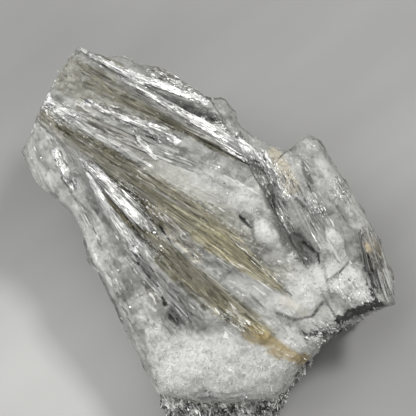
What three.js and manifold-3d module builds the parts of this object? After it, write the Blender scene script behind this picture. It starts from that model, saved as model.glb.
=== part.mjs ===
// A hydroboracite specimen: sprays of long flat laths, fanned out and grown together into one
// crystal mass, broken off across the fibres on one side, on a slab of dark clay rock.
// Millimetres, +Z up. The origin is in the flat break that the clay slab rests on.
//
// The display face leans towards -Y. It is drawn in its own frame, x to the right, y up the face
// and z out of it, and then leaned back and lifted to FACE_HEIGHT above the table.
import * as THREE from "three";
import { mergeVertices } from "three/addons/utils/BufferGeometryUtils.js";
import Module from "manifold-3d";

// ---- driving dimensions -------------------------------------------------------------------
const FACE_LEAN = THREE.MathUtils.degToRad(15);
const FACE_HEIGHT = 27; // the middle of the face above the table
const CONTACT_HEIGHT = 8.4; // where the crystals meet the clay, on average
const CONTACT_WAVE = 1.5; // how far the contact rises and falls about that
const CONTACT_GAP = 0.3;
const FACE_CELLS = 22; // grid cells across the face
const CONTACT_RINGS = [0.74, 0.36]; // rings of the contact sheet, as shares of its radius
const UNDER_RINGS = [0.3, 0.56, 0.78, 0.93]; // rings of the clay's underside
const WALL_ROWS = 4;
const WALL_LEDGE = 1.9; // how far ledges step in and out on the crystals' sides
const CLAY_ROWS = 3;
const CLAY_LEDGE = 1.5;
const CLAY_UNDERCUT = 1.8; // how far the clay draws in at the table

// The outline of the face, once round, anticlockwise from its right-hand corner.
const FACE_OUTLINE = [
  [38.4, -16.2], [37.8, -12.4], [36.6, -6.6], [35.0, -2.4], [31.6, 2.6], [28.2, 8.6],
  [25.2, 13.0], [23.9, 15.8], [22.3, 17.7], [20.6, 18.2], [18.2, 17.0], [16.0, 15.0],
  [13.4, 15.4], [8.8, 18.0], [6.0, 20.6], [5.4, 22.8], [3.6, 25.0], [-0.6, 26.0],
  [-5.6, 29.2], [-10.6, 31.8], [-16.6, 33.4], [-22.2, 34.4], [-25.8, 35.4], [-28.2, 33.2],
  [-31.2, 28.2], [-34.4, 21.6], [-36.0, 17.6], [-37.4, 15.0], [-35.8, 11.2], [-33.8, 7.6],
  [-30.6, 5.2], [-27.2, 2.6], [-25.2, -1.6], [-24.6, -6.0], [-21.6, -11.2], [-18.8, -16.8],
  [-16.4, -22.6], [-13.4, -27.8], [-11.6, -31.6], [-10.2, -34.2], [-4.6, -35.4], [1.6, -36.0],
  [8.4, -35.6], [13.8, -35.0], [15.8, -32.8], [18.6, -29.4], [22.2, -26.0], [24.0, -22.4],
  [28.4, -20.2], [34.0, -17.6],
];

// The outline of the contact with the clay, seen from above.
const CONTACT_OUTLINE = [
  [35.6, -11.6], [35.8, -6.0], [33.2, 1.0], [29.6, 8.4], [25.0, 16.4], [20.6, 21.4],
  [14.6, 20.0], [8.0, 23.6], [4.0, 29.4], [-1.8, 31.4], [-9.0, 36.6], [-16.4, 38.6],
  [-23.6, 39.4], [-28.0, 34.0], [-31.6, 26.0], [-34.0, 20.6], [-32.4, 15.0], [-28.6, 10.4],
  [-24.4, 6.6], [-23.0, 0.6], [-20.2, -6.4], [-17.2, -12.6], [-14.6, -19.0], [-12.0, -25.4],
  [-10.2, -30.2], [-4.4, -32.2], [2.0, -33.0], [8.6, -32.4], [13.6, -31.2], [17.4, -26.6],
  [21.4, -22.4], [23.6, -18.6], [28.6, -16.4], [33.0, -14.4],
];

// The outline of the clay at its widest, low down. In front it runs out as a broken slope.
const CLAY_OUTLINE = [
  [35.2, -11.0], [35.0, -5.0], [32.0, 1.6], [28.2, 8.8], [23.6, 15.8], [18.4, 19.8],
  [12.6, 20.2], [6.4, 24.6], [1.2, 29.4], [-7.6, 34.8], [-16.4, 37.4], [-23.2, 37.0],
  [-27.2, 31.0], [-31.0, 23.8], [-32.4, 17.6], [-29.8, 11.6], [-24.8, 6.8], [-21.4, 1.2],
  [-19.4, -5.8], [-16.2, -12.6], [-13.2, -19.4], [-11.0, -26.4], [-9.8, -32.6], [-9.0, -36.6],
  [-3.4, -39.6], [4.0, -40.8], [10.8, -39.4], [14.6, -36.0], [17.6, -30.0], [21.6, -24.8],
  [25.0, -20.0], [29.4, -17.4], [33.4, -14.8],
];

// Broad forms of the face: [x, y, half length, half width, turn in degrees, height, crease].
// A crease of 1 ends in a sharp groove, and 2 runs out softly.
const FORMS = [
  [-8.6, 24.0, 27.0, 6.5, -31, 2.2, 2], // upper spray
  [-11.0, 15.6, 20.0, 3.6, -34, -1.5, 2], // hollow below it
  [-7.6, 4.6, 30.0, 6.0, -40, 2.6, 2], // middle spray
  [3.4, 8.0, 13.0, 7.0, -30, 0.8, 2], // pale shelf beside it
  [-3.0, -10.4, 26.0, 3.6, -43, 1.8, 2], // lower spray
  [4.4, -9.6, 10.0, 2.6, -42, -1.0, 2], // hollow between them
  [-19.6, 6.2, 14.0, 4.0, -50, 1.8, 2], // steep spray on the left
  [-20.0, -8.4, 8.5, 5.6, -63, 1.4, 2], // left swelling
  [-6.4, -19.2, 7.0, 3.0, -58, -2.0, 2], // lower left hollow
  [1.4, -29.6, 19.0, 8.0, 4, 1.8, 2], // sugary swelling at the foot
  [19.4, 7.6, 12.5, 4.0, -60, 2.2, 2], // right block, first ridge
  [27.0, 2.2, 14.0, 5.2, -57, 2.4, 2], // right block, second ridge
  [15.6, 2.4, 14.0, 3.0, -62, -1.6, 2], // valley before the right block
  [17.2, -11.8, 8.2, 5.2, -45, 1.6, 1], // oval nodule
  [11.4, -1.2, 3.8, 2.6, -35, 1.5, 1], // small nodule
  [7.6, 1.6, 2.4, 1.0, -50, -0.9, 2], // pit above it
  [28.4, -12.4, 8.0, 5.0, -20, 1.8, 2], // lower right lump
  [19.4, -4.8, 4.4, 2.0, -50, -1.4, 2], // cavity
  [24.4, -5.4, 4.8, 3.2, -70, 1.4, 1], // white patch
  [2.9, 22.8, 3.2, 2.8, 20, 1.9, 2], // knob at the upper edge
];

// Sprays of laths, each from its near end to its far end, as wide as its spread says at each.
const SPRAYS = [
  { name: "top edge", from: [-25.4, 34.0], to: [-1.0, 24.8], spread: [1.0, 1.6], laths: 4, width: 2.4 },
  { name: "long blade", from: [-24.4, 31.8], to: [11.8, 13.4], spread: [0.6, 1.6], laths: 5, width: 2.4 },
  { name: "upper shelf", from: [-28.4, 30.2], to: [6.0, 13.8], spread: [2.2, 1.4], laths: 6, width: 2.7 },
  { name: "hollow edge", from: [-31.6, 24.8], to: [-2.0, 12.4], spread: [2.6, 1.8], laths: 6, width: 2.7 },
  { name: "middle crest", from: [-31.6, 20.8], to: [4.0, 0.6], spread: [1.6, 3.0], laths: 8, width: 2.8 },
  { name: "middle tip", from: [-8.0, 6.2], to: [17.6, -13.6], spread: [3.0, 0.8], laths: 6, width: 2.4 },
  { name: "first streak", from: [-27.4, 15.8], to: [-11.0, -0.8], spread: [0.8, 1.4], laths: 3, width: 2.0 },
  { name: "second streak", from: [-25.6, 12.2], to: [-15.4, -3.0], spread: [0.6, 1.2], laths: 3, width: 1.9 },
  { name: "lower crest", from: [-16.4, 2.6], to: [8.4, -21.0], spread: [1.8, 2.2], laths: 6, width: 2.6 },
  { name: "lower tip", from: [-2.4, -11.4], to: [15.8, -27.4], spread: [2.0, 1.4], laths: 4, width: 2.2 },
  { name: "outer left", from: [-32.6, 16.6], to: [-21.4, -5.6], spread: [1.6, 2.4], laths: 4, width: 2.7 },
  { name: "left flank", from: [-22.0, -4.0], to: [-10.6, -24.4], spread: [2.2, 2.6], laths: 5, width: 3.0 },
  { name: "right first", from: [15.6, 12.4], to: [24.6, -5.0], spread: [1.4, 2.4], laths: 5, width: 2.8 },
  { name: "right second", from: [22.4, 13.6], to: [34.0, -7.6], spread: [1.8, 2.0], laths: 5, width: 3.2 },
];
const LATH_FLATNESS = 0.62; // thickness over width
const LATH_TAPER = 0.6; // width at the far end over width at the near end
const LATH_ROLL = 0.8; // the most that a lath rolls about its length, in radians, both ways
const LATH_PROUD = 0.1; // how far its axis stands above the face, as a share of its width

// ---- helpers ------------------------------------------------------------------------------
const { degToRad, lerp, smoothstep } = THREE.MathUtils;

// A repeatable number from 0 to 1 for each pair of whole numbers.
function chance(i, j) {
  const s = Math.sin(i * 127.1 + j * 311.7 + 17.3) * 43758.5453;
  return s - Math.floor(s);
}

// A few crossed waves, from about -1 to 1, that stand in for a natural unevenness.
function unevenness(x, y, pitch, seed) {
  const k = (2 * Math.PI) / pitch;
  const a = Math.sin(k * (x * 0.83 + y * 0.41) + seed);
  const b = Math.sin(k * (y * 0.92 - x * 0.57) * 1.31 + seed * 2.7);
  const c = Math.sin(k * (x * 0.29 + y * 1.13) * 1.73 + seed * 5.1);
  return (a + b + c * 0.7) / 2.2;
}

// How far an outline is from its origin in the direction of angle.
function reach(outline, angle) {
  const dx = Math.cos(angle);
  const dy = Math.sin(angle);
  let best = 0;
  outline.forEach(([x0, y0], i) => {
    const [x1, y1] = outline[(i + 1) % outline.length];
    const across = dx * (y1 - y0) - dy * (x1 - x0);
    if (Math.abs(across) < 1e-9) return;
    const out = (x0 * (y1 - y0) - y0 * (x1 - x0)) / across;
    const along = (x0 * dy - y0 * dx) / across;
    if (out > best && along >= -1e-9 && along <= 1 + 1e-9) best = out;
  });
  return best;
}

// The place on an outline in the direction of angle, drawn in to a share of its radius.
function onOutline(outline, angle, share) {
  const radius = share * reach(outline, angle);
  return [radius * Math.cos(angle), radius * Math.sin(angle)];
}

// ---- the crystal face ---------------------------------------------------------------------
// How far one broad form lifts the face at x, y.
function formHeight([cx, cy, long, wide, turn, height, crease], x, y) {
  const a = degToRad(turn);
  const u = ((x - cx) * Math.cos(a) + (y - cy) * Math.sin(a)) / long;
  const v = ((y - cy) * Math.cos(a) - (x - cx) * Math.sin(a)) / wide;
  return height * Math.pow(Math.max(0, 1 - u * u - v * v), crease);
}

// How far the edge of the face rounds over, by direction: little at the clean break across the
// fibres in the upper left, most at the foot and on the right.
function edgeDrop(angle) {
  const fromBreak = 0.5 - 0.5 * Math.cos(angle - degToRad(145));
  return 1.2 + 3.2 * smoothstep(fromBreak, 0.06, 0.7);
}

// The face's own height over its flat middle plane. share is 0 at the middle and 1 at the rim.
function faceHeight(x, y, share) {
  const forms = FORMS.reduce((sum, form) => sum + formHeight(form, x, y), 0);
  const edge = Math.max(0, (share - 0.9) / 0.1);
  const round = 1 - Math.sqrt(Math.max(0, 1 - edge * edge));
  const rough = 0.45 * unevenness(x, y, 11, 0.6) + 0.22 * unevenness(x, y, 5.2, 2.1);
  return (forms + rough) * (1 - 0.5 * round) - edgeDrop(Math.atan2(y, x)) * round;
}

// The share of the way to the rim at x, y, which the face's rounding needs.
function shareAt(x, y) {
  return Math.min(1, Math.hypot(x, y) / reach(FACE_OUTLINE, Math.atan2(y, x)));
}

// From the face's frame to the part's.
const lean = new THREE.Matrix4()
  .makeTranslation(0, 0, FACE_HEIGHT)
  .multiply(new THREE.Matrix4().makeRotationX(FACE_LEAN));

function facePoint({ share, angle, i, j }) {
  const [x, y] = onOutline(FACE_OUTLINE, angle, share);
  const chip = share < 0.99 ? 0.4 * (chance(i, j) - 0.5) : 0;
  return new THREE.Vector3(x, y, faceHeight(x, y, share) + chip).applyMatrix4(lean);
}

// ---- closed skins -------------------------------------------------------------------------
// A skin is grown ring by ring from one end and closed at the other: the crystals' from the face
// down, and the clay's from its underside up. Every ring has one point for each rim point of the
// square face grid, so that the two skins meet point for point and triangle for triangle.
const gridIndex = (i, j) => j * (FACE_CELLS + 1) + i;

// Wraps a square grid so that its square rings become shrunken outlines.
const facePlaces = Array.from({ length: (FACE_CELLS + 1) ** 2 }, (_, n) => {
  const i = n % (FACE_CELLS + 1);
  const j = Math.floor(n / (FACE_CELLS + 1));
  const a = (2 * i) / FACE_CELLS - 1;
  const b = (2 * j) / FACE_CELLS - 1;
  return { share: Math.max(Math.abs(a), Math.abs(b)), angle: Math.atan2(b, a), i, j };
});

// The rim of that grid, anticlockwise, as indices of its places.
const rim = [
  ...Array.from({ length: FACE_CELLS }, (_, k) => gridIndex(k, 0)),
  ...Array.from({ length: FACE_CELLS }, (_, k) => gridIndex(FACE_CELLS, k)),
  ...Array.from({ length: FACE_CELLS }, (_, k) => gridIndex(FACE_CELLS - k, FACE_CELLS)),
  ...Array.from({ length: FACE_CELLS }, (_, k) => gridIndex(0, FACE_CELLS - k)),
];
const rimAngles = rim.map((n) => facePlaces[n].angle);

class Skin {
  points = [];
  faces = [];

  add(point) {
    return this.points.push(point) - 1;
  }

  quad(a, b, c, d) {
    this.faces.push(a, b, c, a, c, d);
  }

  // A square grid sheet on top. Its rim is the first ring.
  sheet(pointAt) {
    facePlaces.forEach((place) => this.add(pointAt(place)));
    for (let j = 0; j < FACE_CELLS; j++)
      for (let i = 0; i < FACE_CELLS; i++)
        this.quad(gridIndex(i, j), gridIndex(i + 1, j), gridIndex(i + 1, j + 1), gridIndex(i, j + 1));
    this.last = rim;
  }

  // A pole, with the first ring round it.
  pole(point, pointAt) {
    const centre = this.add(point);
    this.last = rimAngles.map((angle, k) => this.add(pointAt(angle, k)));
    this.last.forEach((a, k) => this.faces.push(centre, a, this.last[(k + 1) % this.last.length]));
  }

  // The next ring on.
  ring(pointAt) {
    const above = this.last;
    this.last = rimAngles.map((angle, k) => this.add(pointAt(angle, k)));
    this.last.forEach((a, k) => {
      const next = (k + 1) % above.length;
      this.quad(a, this.last[next], above[next], above[k]);
    });
  }

  // Closes the far end with a pole. A skin that was grown upwards is turned inside out.
  close(point, grownUpwards = false) {
    const centre = this.add(point);
    this.last.forEach((a, k) => this.faces.push(centre, this.last[(k + 1) % this.last.length], a));
    const faces = grownUpwards ? this.faces.reverse() : this.faces;
    return new THREE.BufferGeometry().setFromPoints(this.points).setIndex(faces);
  }
}

// ---- manifold-3d --------------------------------------------------------------------------
const wasm = await Module();
wasm.setup();

// A geometry as a solid that can be joined.
function solidOf(geometry) {
  const bare = geometry.clone();
  bare.deleteAttribute("normal");
  bare.deleteAttribute("uv");
  const merged = mergeVertices(bare, 1e-4);
  return new wasm.Manifold(
    new wasm.Mesh({
      numProp: 3,
      vertProperties: merged.attributes.position.array,
      triVerts: new Uint32Array(merged.index.array),
    }),
  );
}

// A solid as a geometry with flat faces.
function geometryOf(solid) {
  const { vertProperties, triVerts } = solid.getMesh();
  const geometry = new THREE.BufferGeometry();
  geometry.setAttribute("position", new THREE.BufferAttribute(vertProperties, 3));
  geometry.setIndex(new THREE.BufferAttribute(triVerts, 1));
  return geometry;
}

// ---- the contact --------------------------------------------------------------------------
// The crystals' underside and the clay's top are the same sheet, CONTACT_GAP apart.
function contactPoint(angle, share, lift) {
  const [x, y] = onOutline(CONTACT_OUTLINE, angle, share);
  const wave = CONTACT_WAVE * unevenness(x, y, 34, 4.2) * smoothstep(share, 0.3, 0.9);
  return new THREE.Vector3(x, y, CONTACT_HEIGHT + wave + lift);
}

// Moves a point straight out from the part's axis.
function pushedOut(point, angle, distance) {
  return new THREE.Vector3(
    point.x + distance * Math.cos(angle),
    point.y + distance * Math.sin(angle),
    point.z,
  );
}

// A step in or out for row of the sides, alike over a few points of the ring.
function ledge(k, row, blockLength) {
  return chance(Math.floor((k + row * 2) / blockLength), row) - 0.5 + 0.3 * (chance(k, row + 20) - 0.5);
}

// ---- crystal mass -------------------------------------------------------------------------
function crystalBody() {
  const skin = new Skin();
  const lift = CONTACT_GAP / 2;
  skin.sheet(facePoint);
  const top = rim.map((n) => skin.points[n]);
  for (let row = 1; row < WALL_ROWS; row++) {
    const share = row / WALL_ROWS;
    skin.ring((angle, k) => {
      const straight = top[k].clone().lerp(contactPoint(angle, 1, lift), share);
      return pushedOut(straight, angle, WALL_LEDGE * ledge(k, row, 4) * Math.sin(share * Math.PI));
    });
  }
  skin.ring((angle) => contactPoint(angle, 1, lift));
  CONTACT_RINGS.forEach((share) => skin.ring((angle) => contactPoint(angle, share, lift)));
  return skin.close(contactPoint(0, 0, lift));
}

// One lath of a spray: a flat bar that narrows to its far end. Even ones start at the spray's
// near end and odd ones reach its far end, so that they overlap like shingles.
function lathOf(spray, s, n) {
  const start = new THREE.Vector2(...spray.from);
  const along = new THREE.Vector2(...spray.to).sub(start);
  const side = new THREE.Vector2(-along.y, along.x).normalize();
  const seat = ((n + 0.5) / spray.laths) * 2 - 1;
  const length = 0.45 + 0.35 * chance(n, s);
  const begins = n % 2 ? 1 - length : 0.05 * chance(s, n + 9);
  const ends = [begins, begins + length].map((t) => {
    const out = seat * lerp(spray.spread[0], spray.spread[1], t);
    const place = start.clone().addScaledVector(along, t).addScaledVector(side, out);
    const height = faceHeight(place.x, place.y, shareAt(place.x, place.y));
    return new THREE.Vector3(place.x, place.y, height + LATH_PROUD * spray.width);
  });
  const run = ends[1].clone().sub(ends[0]);
  const radius = spray.width * (0.5 + 0.25 * chance(n + 3, s));
  const bar = new THREE.CylinderGeometry(radius * LATH_TAPER, radius, run.length(), 4);
  bar.rotateY(Math.PI / 4);
  bar.scale(1, 1, LATH_FLATNESS);
  bar.rotateY(LATH_ROLL * (chance(s + 5, n) - 0.5));
  const upright = new THREE.Vector3(0, 1, 0);
  bar.applyQuaternion(new THREE.Quaternion().setFromUnitVectors(upright, run.clone().normalize()));
  const middle = ends[0].clone().lerp(ends[1], 0.5);
  return bar.translate(middle.x, middle.y, middle.z).applyMatrix4(lean);
}

function crystalMass() {
  let mass = solidOf(crystalBody());
  SPRAYS.forEach((spray, s) => {
    for (let n = 0; n < spray.laths; n++) mass = mass.add(solidOf(lathOf(spray, s, n)));
  });
  // Crossing laths can shut in small hollows, so only the outer skin is kept.
  return mass.decompose().reduce((a, b) => (a.volume() > b.volume() ? a : b));
}

// ---- clay slab ----------------------------------------------------------------------------
// The underside: a rough break, worn flat where it stands on the table.
function underPoint(angle, share, k) {
  const [x, y] = onOutline(CLAY_OUTLINE, angle, share);
  const rough = 0.9 * unevenness(x, y, 24, 3.3) + 0.5 * (chance(k, Math.round(share * 50)) - 0.5);
  const height = share < 0.4 ? 0 : Math.max(0, rough + smoothstep(share, 0.8, 1));
  const drawnIn = (CLAY_UNDERCUT / reach(CLAY_OUTLINE, angle)) * share;
  return new THREE.Vector3(x * (1 - drawnIn), y * (1 - drawnIn), Math.min(1.6, height));
}

function claySlab() {
  const skin = new Skin();
  const lift = -CONTACT_GAP / 2;
  skin.pole(new THREE.Vector3(0, 0, 0), (angle, k) => underPoint(angle, UNDER_RINGS[0], k));
  UNDER_RINGS.slice(1).forEach((share) => skin.ring((angle, k) => underPoint(angle, share, k)));
  skin.ring((angle, k) => underPoint(angle, 1, k));
  for (let row = 1; row <= CLAY_ROWS; row++) {
    const share = row / (CLAY_ROWS + 1);
    skin.ring((angle, k) => {
      const [x, y] = onOutline(CLAY_OUTLINE, angle, 1);
      const wide = new THREE.Vector3(x, y, 1.6).lerp(contactPoint(angle, 1, lift), share);
      return pushedOut(wide, angle, CLAY_LEDGE * ledge(k, row + 9, 3));
    });
  }
  skin.ring((angle) => contactPoint(angle, 1, lift));
  CONTACT_RINGS.forEach((share) => skin.ring((angle) => contactPoint(angle, share, lift)));
  return solidOf(skin.close(contactPoint(0, 0, lift), true));
}

// ---- the specimen -------------------------------------------------------------------------
function piece(name, solid, color, roughness) {
  const material = new THREE.MeshStandardMaterial({
    color: new THREE.Color(...color),
    roughness,
    metalness: 0,
    flatShading: true,
  });
  const mesh = new THREE.Mesh(geometryOf(solid), material);
  mesh.name = name;
  return mesh;
}

const specimen = new THREE.Group();
specimen.add(piece("hydroboracite_crystals", crystalMass(), [0.62, 0.61, 0.56], 0.35));
specimen.add(piece("clay_matrix", claySlab(), [0.09, 0.09, 0.085], 0.9));
export default specimen;
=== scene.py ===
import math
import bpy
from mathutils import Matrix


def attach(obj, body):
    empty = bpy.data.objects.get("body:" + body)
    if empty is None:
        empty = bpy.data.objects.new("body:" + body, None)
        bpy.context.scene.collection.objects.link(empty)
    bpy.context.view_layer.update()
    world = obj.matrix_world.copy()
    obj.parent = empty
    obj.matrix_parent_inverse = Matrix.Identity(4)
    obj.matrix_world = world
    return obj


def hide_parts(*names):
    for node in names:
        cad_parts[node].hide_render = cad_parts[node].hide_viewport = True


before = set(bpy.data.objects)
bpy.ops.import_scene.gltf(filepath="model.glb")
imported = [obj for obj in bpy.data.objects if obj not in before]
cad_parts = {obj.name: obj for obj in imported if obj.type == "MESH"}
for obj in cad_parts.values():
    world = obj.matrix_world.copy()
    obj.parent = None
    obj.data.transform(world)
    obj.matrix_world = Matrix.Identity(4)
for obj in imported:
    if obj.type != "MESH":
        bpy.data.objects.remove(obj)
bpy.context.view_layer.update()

# %% [markdown]
# # A hydroboracite specimen
# Hydroboracite is a borate mineral that grows as sprays of long, flat, silky crystals. This piece
# is one mass of such sprays, lying face up on a slab of dark clay rock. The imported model, loaded
# above, fixes its size and its main forms. This lesson puts the fine surface on them: first the
# two rocks as closed skins worked out with numpy, then thousands of separate fibres, then the
# finishes, the floor, the lights and the camera.
#
# Lengths are worked out in millimetres, because every measure of the specimen is a handy number
# of them, and turned to Blender's metres only when something is put into the scene.

# %% Measuring the frame
from types import SimpleNamespace

import bpy
import numpy as np
from mathutils import Vector

MM = 0.001

# %% [markdown]
# ## Chance that repeats
# A rock needs thousands of small accidents, and they must be the same each time the lesson runs.
# A random generator gives its numbers in order, so one blade more would change all those after
# it. Here every random number is worked out from whole numbers instead, such as the blade's own:
# it is the fractional part of a large sine. From it comes a smooth noise, by blending the chances
# at the corners of a lattice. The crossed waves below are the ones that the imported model's own
# surface uses. A seed is any whole number that sets one use of chance apart from the others.

# %% Chance, waves and noise
def chance(i, j):
    """A repeatable number from 0 to 1 for each pair of numbers: the fraction of a large sine."""
    big = np.sin(i * 127.1 + j * 311.7 + 17.3) * 43758.5453
    return big - np.floor(big)


def unevenness(x, y, pitch, seed):
    """Three crossed sine waves about pitch long, added up, from about -1 to 1."""
    k = 2 * math.pi / pitch
    a = np.sin(k * (x * 0.83 + y * 0.41) + seed)
    b = np.sin(k * (y * 0.92 - x * 0.57) * 1.31 + seed * 2.7)
    c = np.sin(k * (x * 0.29 + y * 1.13) * 1.73 + seed * 5.1)
    return (a + b + c * 0.7) / 2.2


def soft_step(value, low, high):
    """0 below low, 1 above high, and an S-shaped rise between them."""
    t = np.clip((value - low) / (high - low), 0, 1)
    return t * t * (3 - 2 * t)


def blend(base, over, share):
    """base where share is 0, over where it is 1, and a mean weighed by share between them."""
    return base * (1 - share) + np.array(over) * share


def soft_noise(points, pitch, seed):
    """Value noise from -1 to 1: each corner of a lattice has a chance, and a point blends its eight."""
    q = points / pitch
    cell = np.floor(q)
    f = q - cell
    f = f * f * (3 - 2 * f)
    total = np.zeros(len(q))
    for corner in np.ndindex(2, 2, 2):
        weight = np.prod(np.where(corner, f, 1 - f), axis=1)
        i, j, k = (cell + corner).T
        total += weight * chance(i + 57 * k + seed, j - 31 * k)
    return total * 2 - 1


print("three chances:", [round(float(chance(i, 5)), 3) for i in range(3)])

# %% [markdown]
# ## The display face
# The face is nearly flat, leans towards the front, and is drawn in a frame of its own: x to the
# right, y up the face, z out of it. Its outline is one closed line of points. Broad swellings and
# hollows are ellipses that each lift or sink it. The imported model's triangles could be cut finer,
# but they are uneven, so the face is worked out anew. It uses the same numbers as the packed
# model, so that the fine surface lies where the solid is.

# %% Measures and outlines
FACE_LEAN = math.radians(15)
FACE_HEIGHT = 27.0  # the middle of the face above the table
CONTACT_HEIGHT = 8.4  # where the crystals meet the clay, on average
CONTACT_WAVE = 1.5  # how far the contact rises and falls about that
ROUNDED_RIM = 0.1  # the share of the face, outermost, that is rounded off
BREAK_SIDE = math.radians(145)  # where the clean break is, whose edge is the sharpest
EDGE_DROP = (1.2, 3.2)  # how far the edge drops at the break, and how much more on the far side

# the outline of the face, in its own frame, anticlockwise from its right-hand corner
FACE_OUTLINE = np.array([
    [38.4, -16.2], [37.8, -12.4], [36.6, -6.6], [35.0, -2.4], [31.6, 2.6], [28.2, 8.6],
    [25.2, 13.0], [23.9, 15.8], [22.3, 17.7], [20.6, 18.2], [18.2, 17.0], [16.0, 15.0],
    [13.4, 15.4], [8.8, 18.0], [6.0, 20.6], [5.4, 22.8], [3.6, 25.0], [-0.6, 26.0],
    [-5.6, 29.2], [-10.6, 31.8], [-16.6, 33.4], [-22.2, 34.4], [-25.8, 35.4], [-28.2, 33.2],
    [-31.2, 28.2], [-34.4, 21.6], [-36.0, 17.6], [-37.4, 15.0], [-35.8, 11.2], [-33.8, 7.6],
    [-30.6, 5.2], [-27.2, 2.6], [-25.2, -1.6], [-24.6, -6.0], [-21.6, -11.2], [-18.8, -16.8],
    [-16.4, -22.6], [-13.4, -27.8], [-11.6, -31.6], [-10.2, -34.2], [-4.6, -35.4], [1.6, -36.0],
    [8.4, -35.6], [13.8, -35.0], [15.8, -32.8], [18.6, -29.4], [22.2, -26.0], [24.0, -22.4],
    [28.4, -20.2], [34.0, -17.6],
])
# the outline of the contact with the clay, and of the clay at its widest, seen from above
CONTACT_OUTLINE = np.array([
    [35.6, -11.6], [35.8, -6.0], [33.2, 1.0], [29.6, 8.4], [25.0, 16.4], [20.6, 21.4],
    [14.6, 20.0], [8.0, 23.6], [4.0, 29.4], [-1.8, 31.4], [-9.0, 36.6], [-16.4, 38.6],
    [-23.6, 39.4], [-28.0, 34.0], [-31.6, 26.0], [-34.0, 20.6], [-32.4, 15.0], [-28.6, 10.4],
    [-24.4, 6.6], [-23.0, 0.6], [-20.2, -6.4], [-17.2, -12.6], [-14.6, -19.0], [-12.0, -25.4],
    [-10.2, -30.2], [-4.4, -32.2], [2.0, -33.0], [8.6, -32.4], [13.6, -31.2], [17.4, -26.6],
    [21.4, -22.4], [23.6, -18.6], [28.6, -16.4], [33.0, -14.4],
])
CLAY_OUTLINE = np.array([
    [35.2, -11.0], [35.0, -5.0], [32.0, 1.6], [28.2, 8.8], [23.6, 15.8], [18.4, 19.8],
    [12.6, 20.2], [6.4, 24.6], [1.2, 29.4], [-7.6, 34.8], [-16.4, 37.4], [-23.2, 37.0],
    [-27.2, 31.0], [-31.0, 23.8], [-32.4, 17.6], [-29.8, 11.6], [-24.8, 6.8], [-21.4, 1.2],
    [-19.4, -5.8], [-16.2, -12.6], [-13.2, -19.4], [-11.0, -26.4], [-9.8, -32.6], [-9.0, -36.6],
    [-3.4, -39.6], [4.0, -40.8], [10.8, -39.4], [14.6, -36.0], [17.6, -30.0], [21.6, -24.8],
    [25.0, -20.0], [29.4, -17.4], [33.4, -14.8],
])
print("face, mm wide and long:", np.ptp(FACE_OUTLINE, axis=0).round(1).tolist())

# %% Broad forms
# x, y, half length, half width, turn in degrees, height, crease (1 ends in a groove, 2 runs out)
FORMS = [
    (-8.6, 24.0, 27.0, 6.5, -31, 2.2, 2),  # upper spray
    (-11.0, 15.6, 20.0, 3.6, -34, -1.5, 2),  # hollow below it
    (-7.6, 4.6, 30.0, 6.0, -40, 2.6, 2),  # middle spray
    (3.4, 8.0, 13.0, 7.0, -30, 0.8, 2),  # pale shelf beside it
    (-3.0, -10.4, 26.0, 3.6, -43, 1.8, 2),  # lower spray
    (4.4, -9.6, 10.0, 2.6, -42, -1.0, 2),  # hollow between them
    (-19.6, 6.2, 14.0, 4.0, -50, 1.8, 2),  # steep spray on the left
    (-20.0, -8.4, 8.5, 5.6, -63, 1.4, 2),  # left swelling
    (-6.4, -19.2, 7.0, 3.0, -58, -2.0, 2),  # lower left hollow
    (1.4, -29.6, 19.0, 8.0, 4, 1.8, 2),  # sugary swelling at the foot
    (19.4, 7.6, 12.5, 4.0, -60, 2.2, 2),  # right block, first ridge
    (27.0, 2.2, 14.0, 5.2, -57, 2.4, 2),  # right block, second ridge
    (15.6, 2.4, 14.0, 3.0, -62, -1.6, 2),  # valley before the right block
    (17.2, -11.8, 8.2, 5.2, -45, 1.6, 1),  # oval nodule
    (11.4, -1.2, 3.8, 2.6, -35, 1.5, 1),  # small nodule
    (7.6, 1.6, 2.4, 1.0, -50, -0.9, 2),  # pit above it
    (28.4, -12.4, 8.0, 5.0, -20, 1.8, 2),  # lower right lump
    (19.4, -4.8, 4.4, 2.0, -50, -1.4, 2),  # cavity
    (24.4, -5.4, 4.8, 3.2, -70, 1.4, 1),  # white patch
    (2.9, 22.8, 3.2, 2.8, 20, 1.9, 2),  # knob at the upper edge
]


def inside_ellipse(x, y, centre_x, centre_y, long, wide, turn):
    """The squared distance from an ellipse's centre, in units that are 1 on its line."""
    a = math.radians(turn)
    u = ((x - centre_x) * math.cos(a) + (y - centre_y) * math.sin(a)) / long
    v = ((y - centre_y) * math.cos(a) - (x - centre_x) * math.sin(a)) / wide
    return u * u + v * v


print(len(FORMS), "broad forms")

# %% The face
def reach(outline, angle):
    """How far an outline is from its origin in each direction: the farthest crossing of ray and side."""
    angle = np.asarray(angle, float)
    dx, dy = np.cos(angle).reshape(-1, 1), np.sin(angle).reshape(-1, 1)
    x0, y0 = outline.T
    x1, y1 = np.roll(outline, -1, axis=0).T
    across = dx * (y1 - y0) - dy * (x1 - x0)
    across = np.where(np.abs(across) < 1e-9, 1e-9, across)
    out = (x0 * (y1 - y0) - y0 * (x1 - x0)) / across
    along = (x0 * dy - y0 * dx) / across
    hit = (along >= -1e-9) & (along <= 1 + 1e-9) & (out > 0)
    return np.where(hit, out, 0).max(axis=1).reshape(angle.shape)


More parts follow.
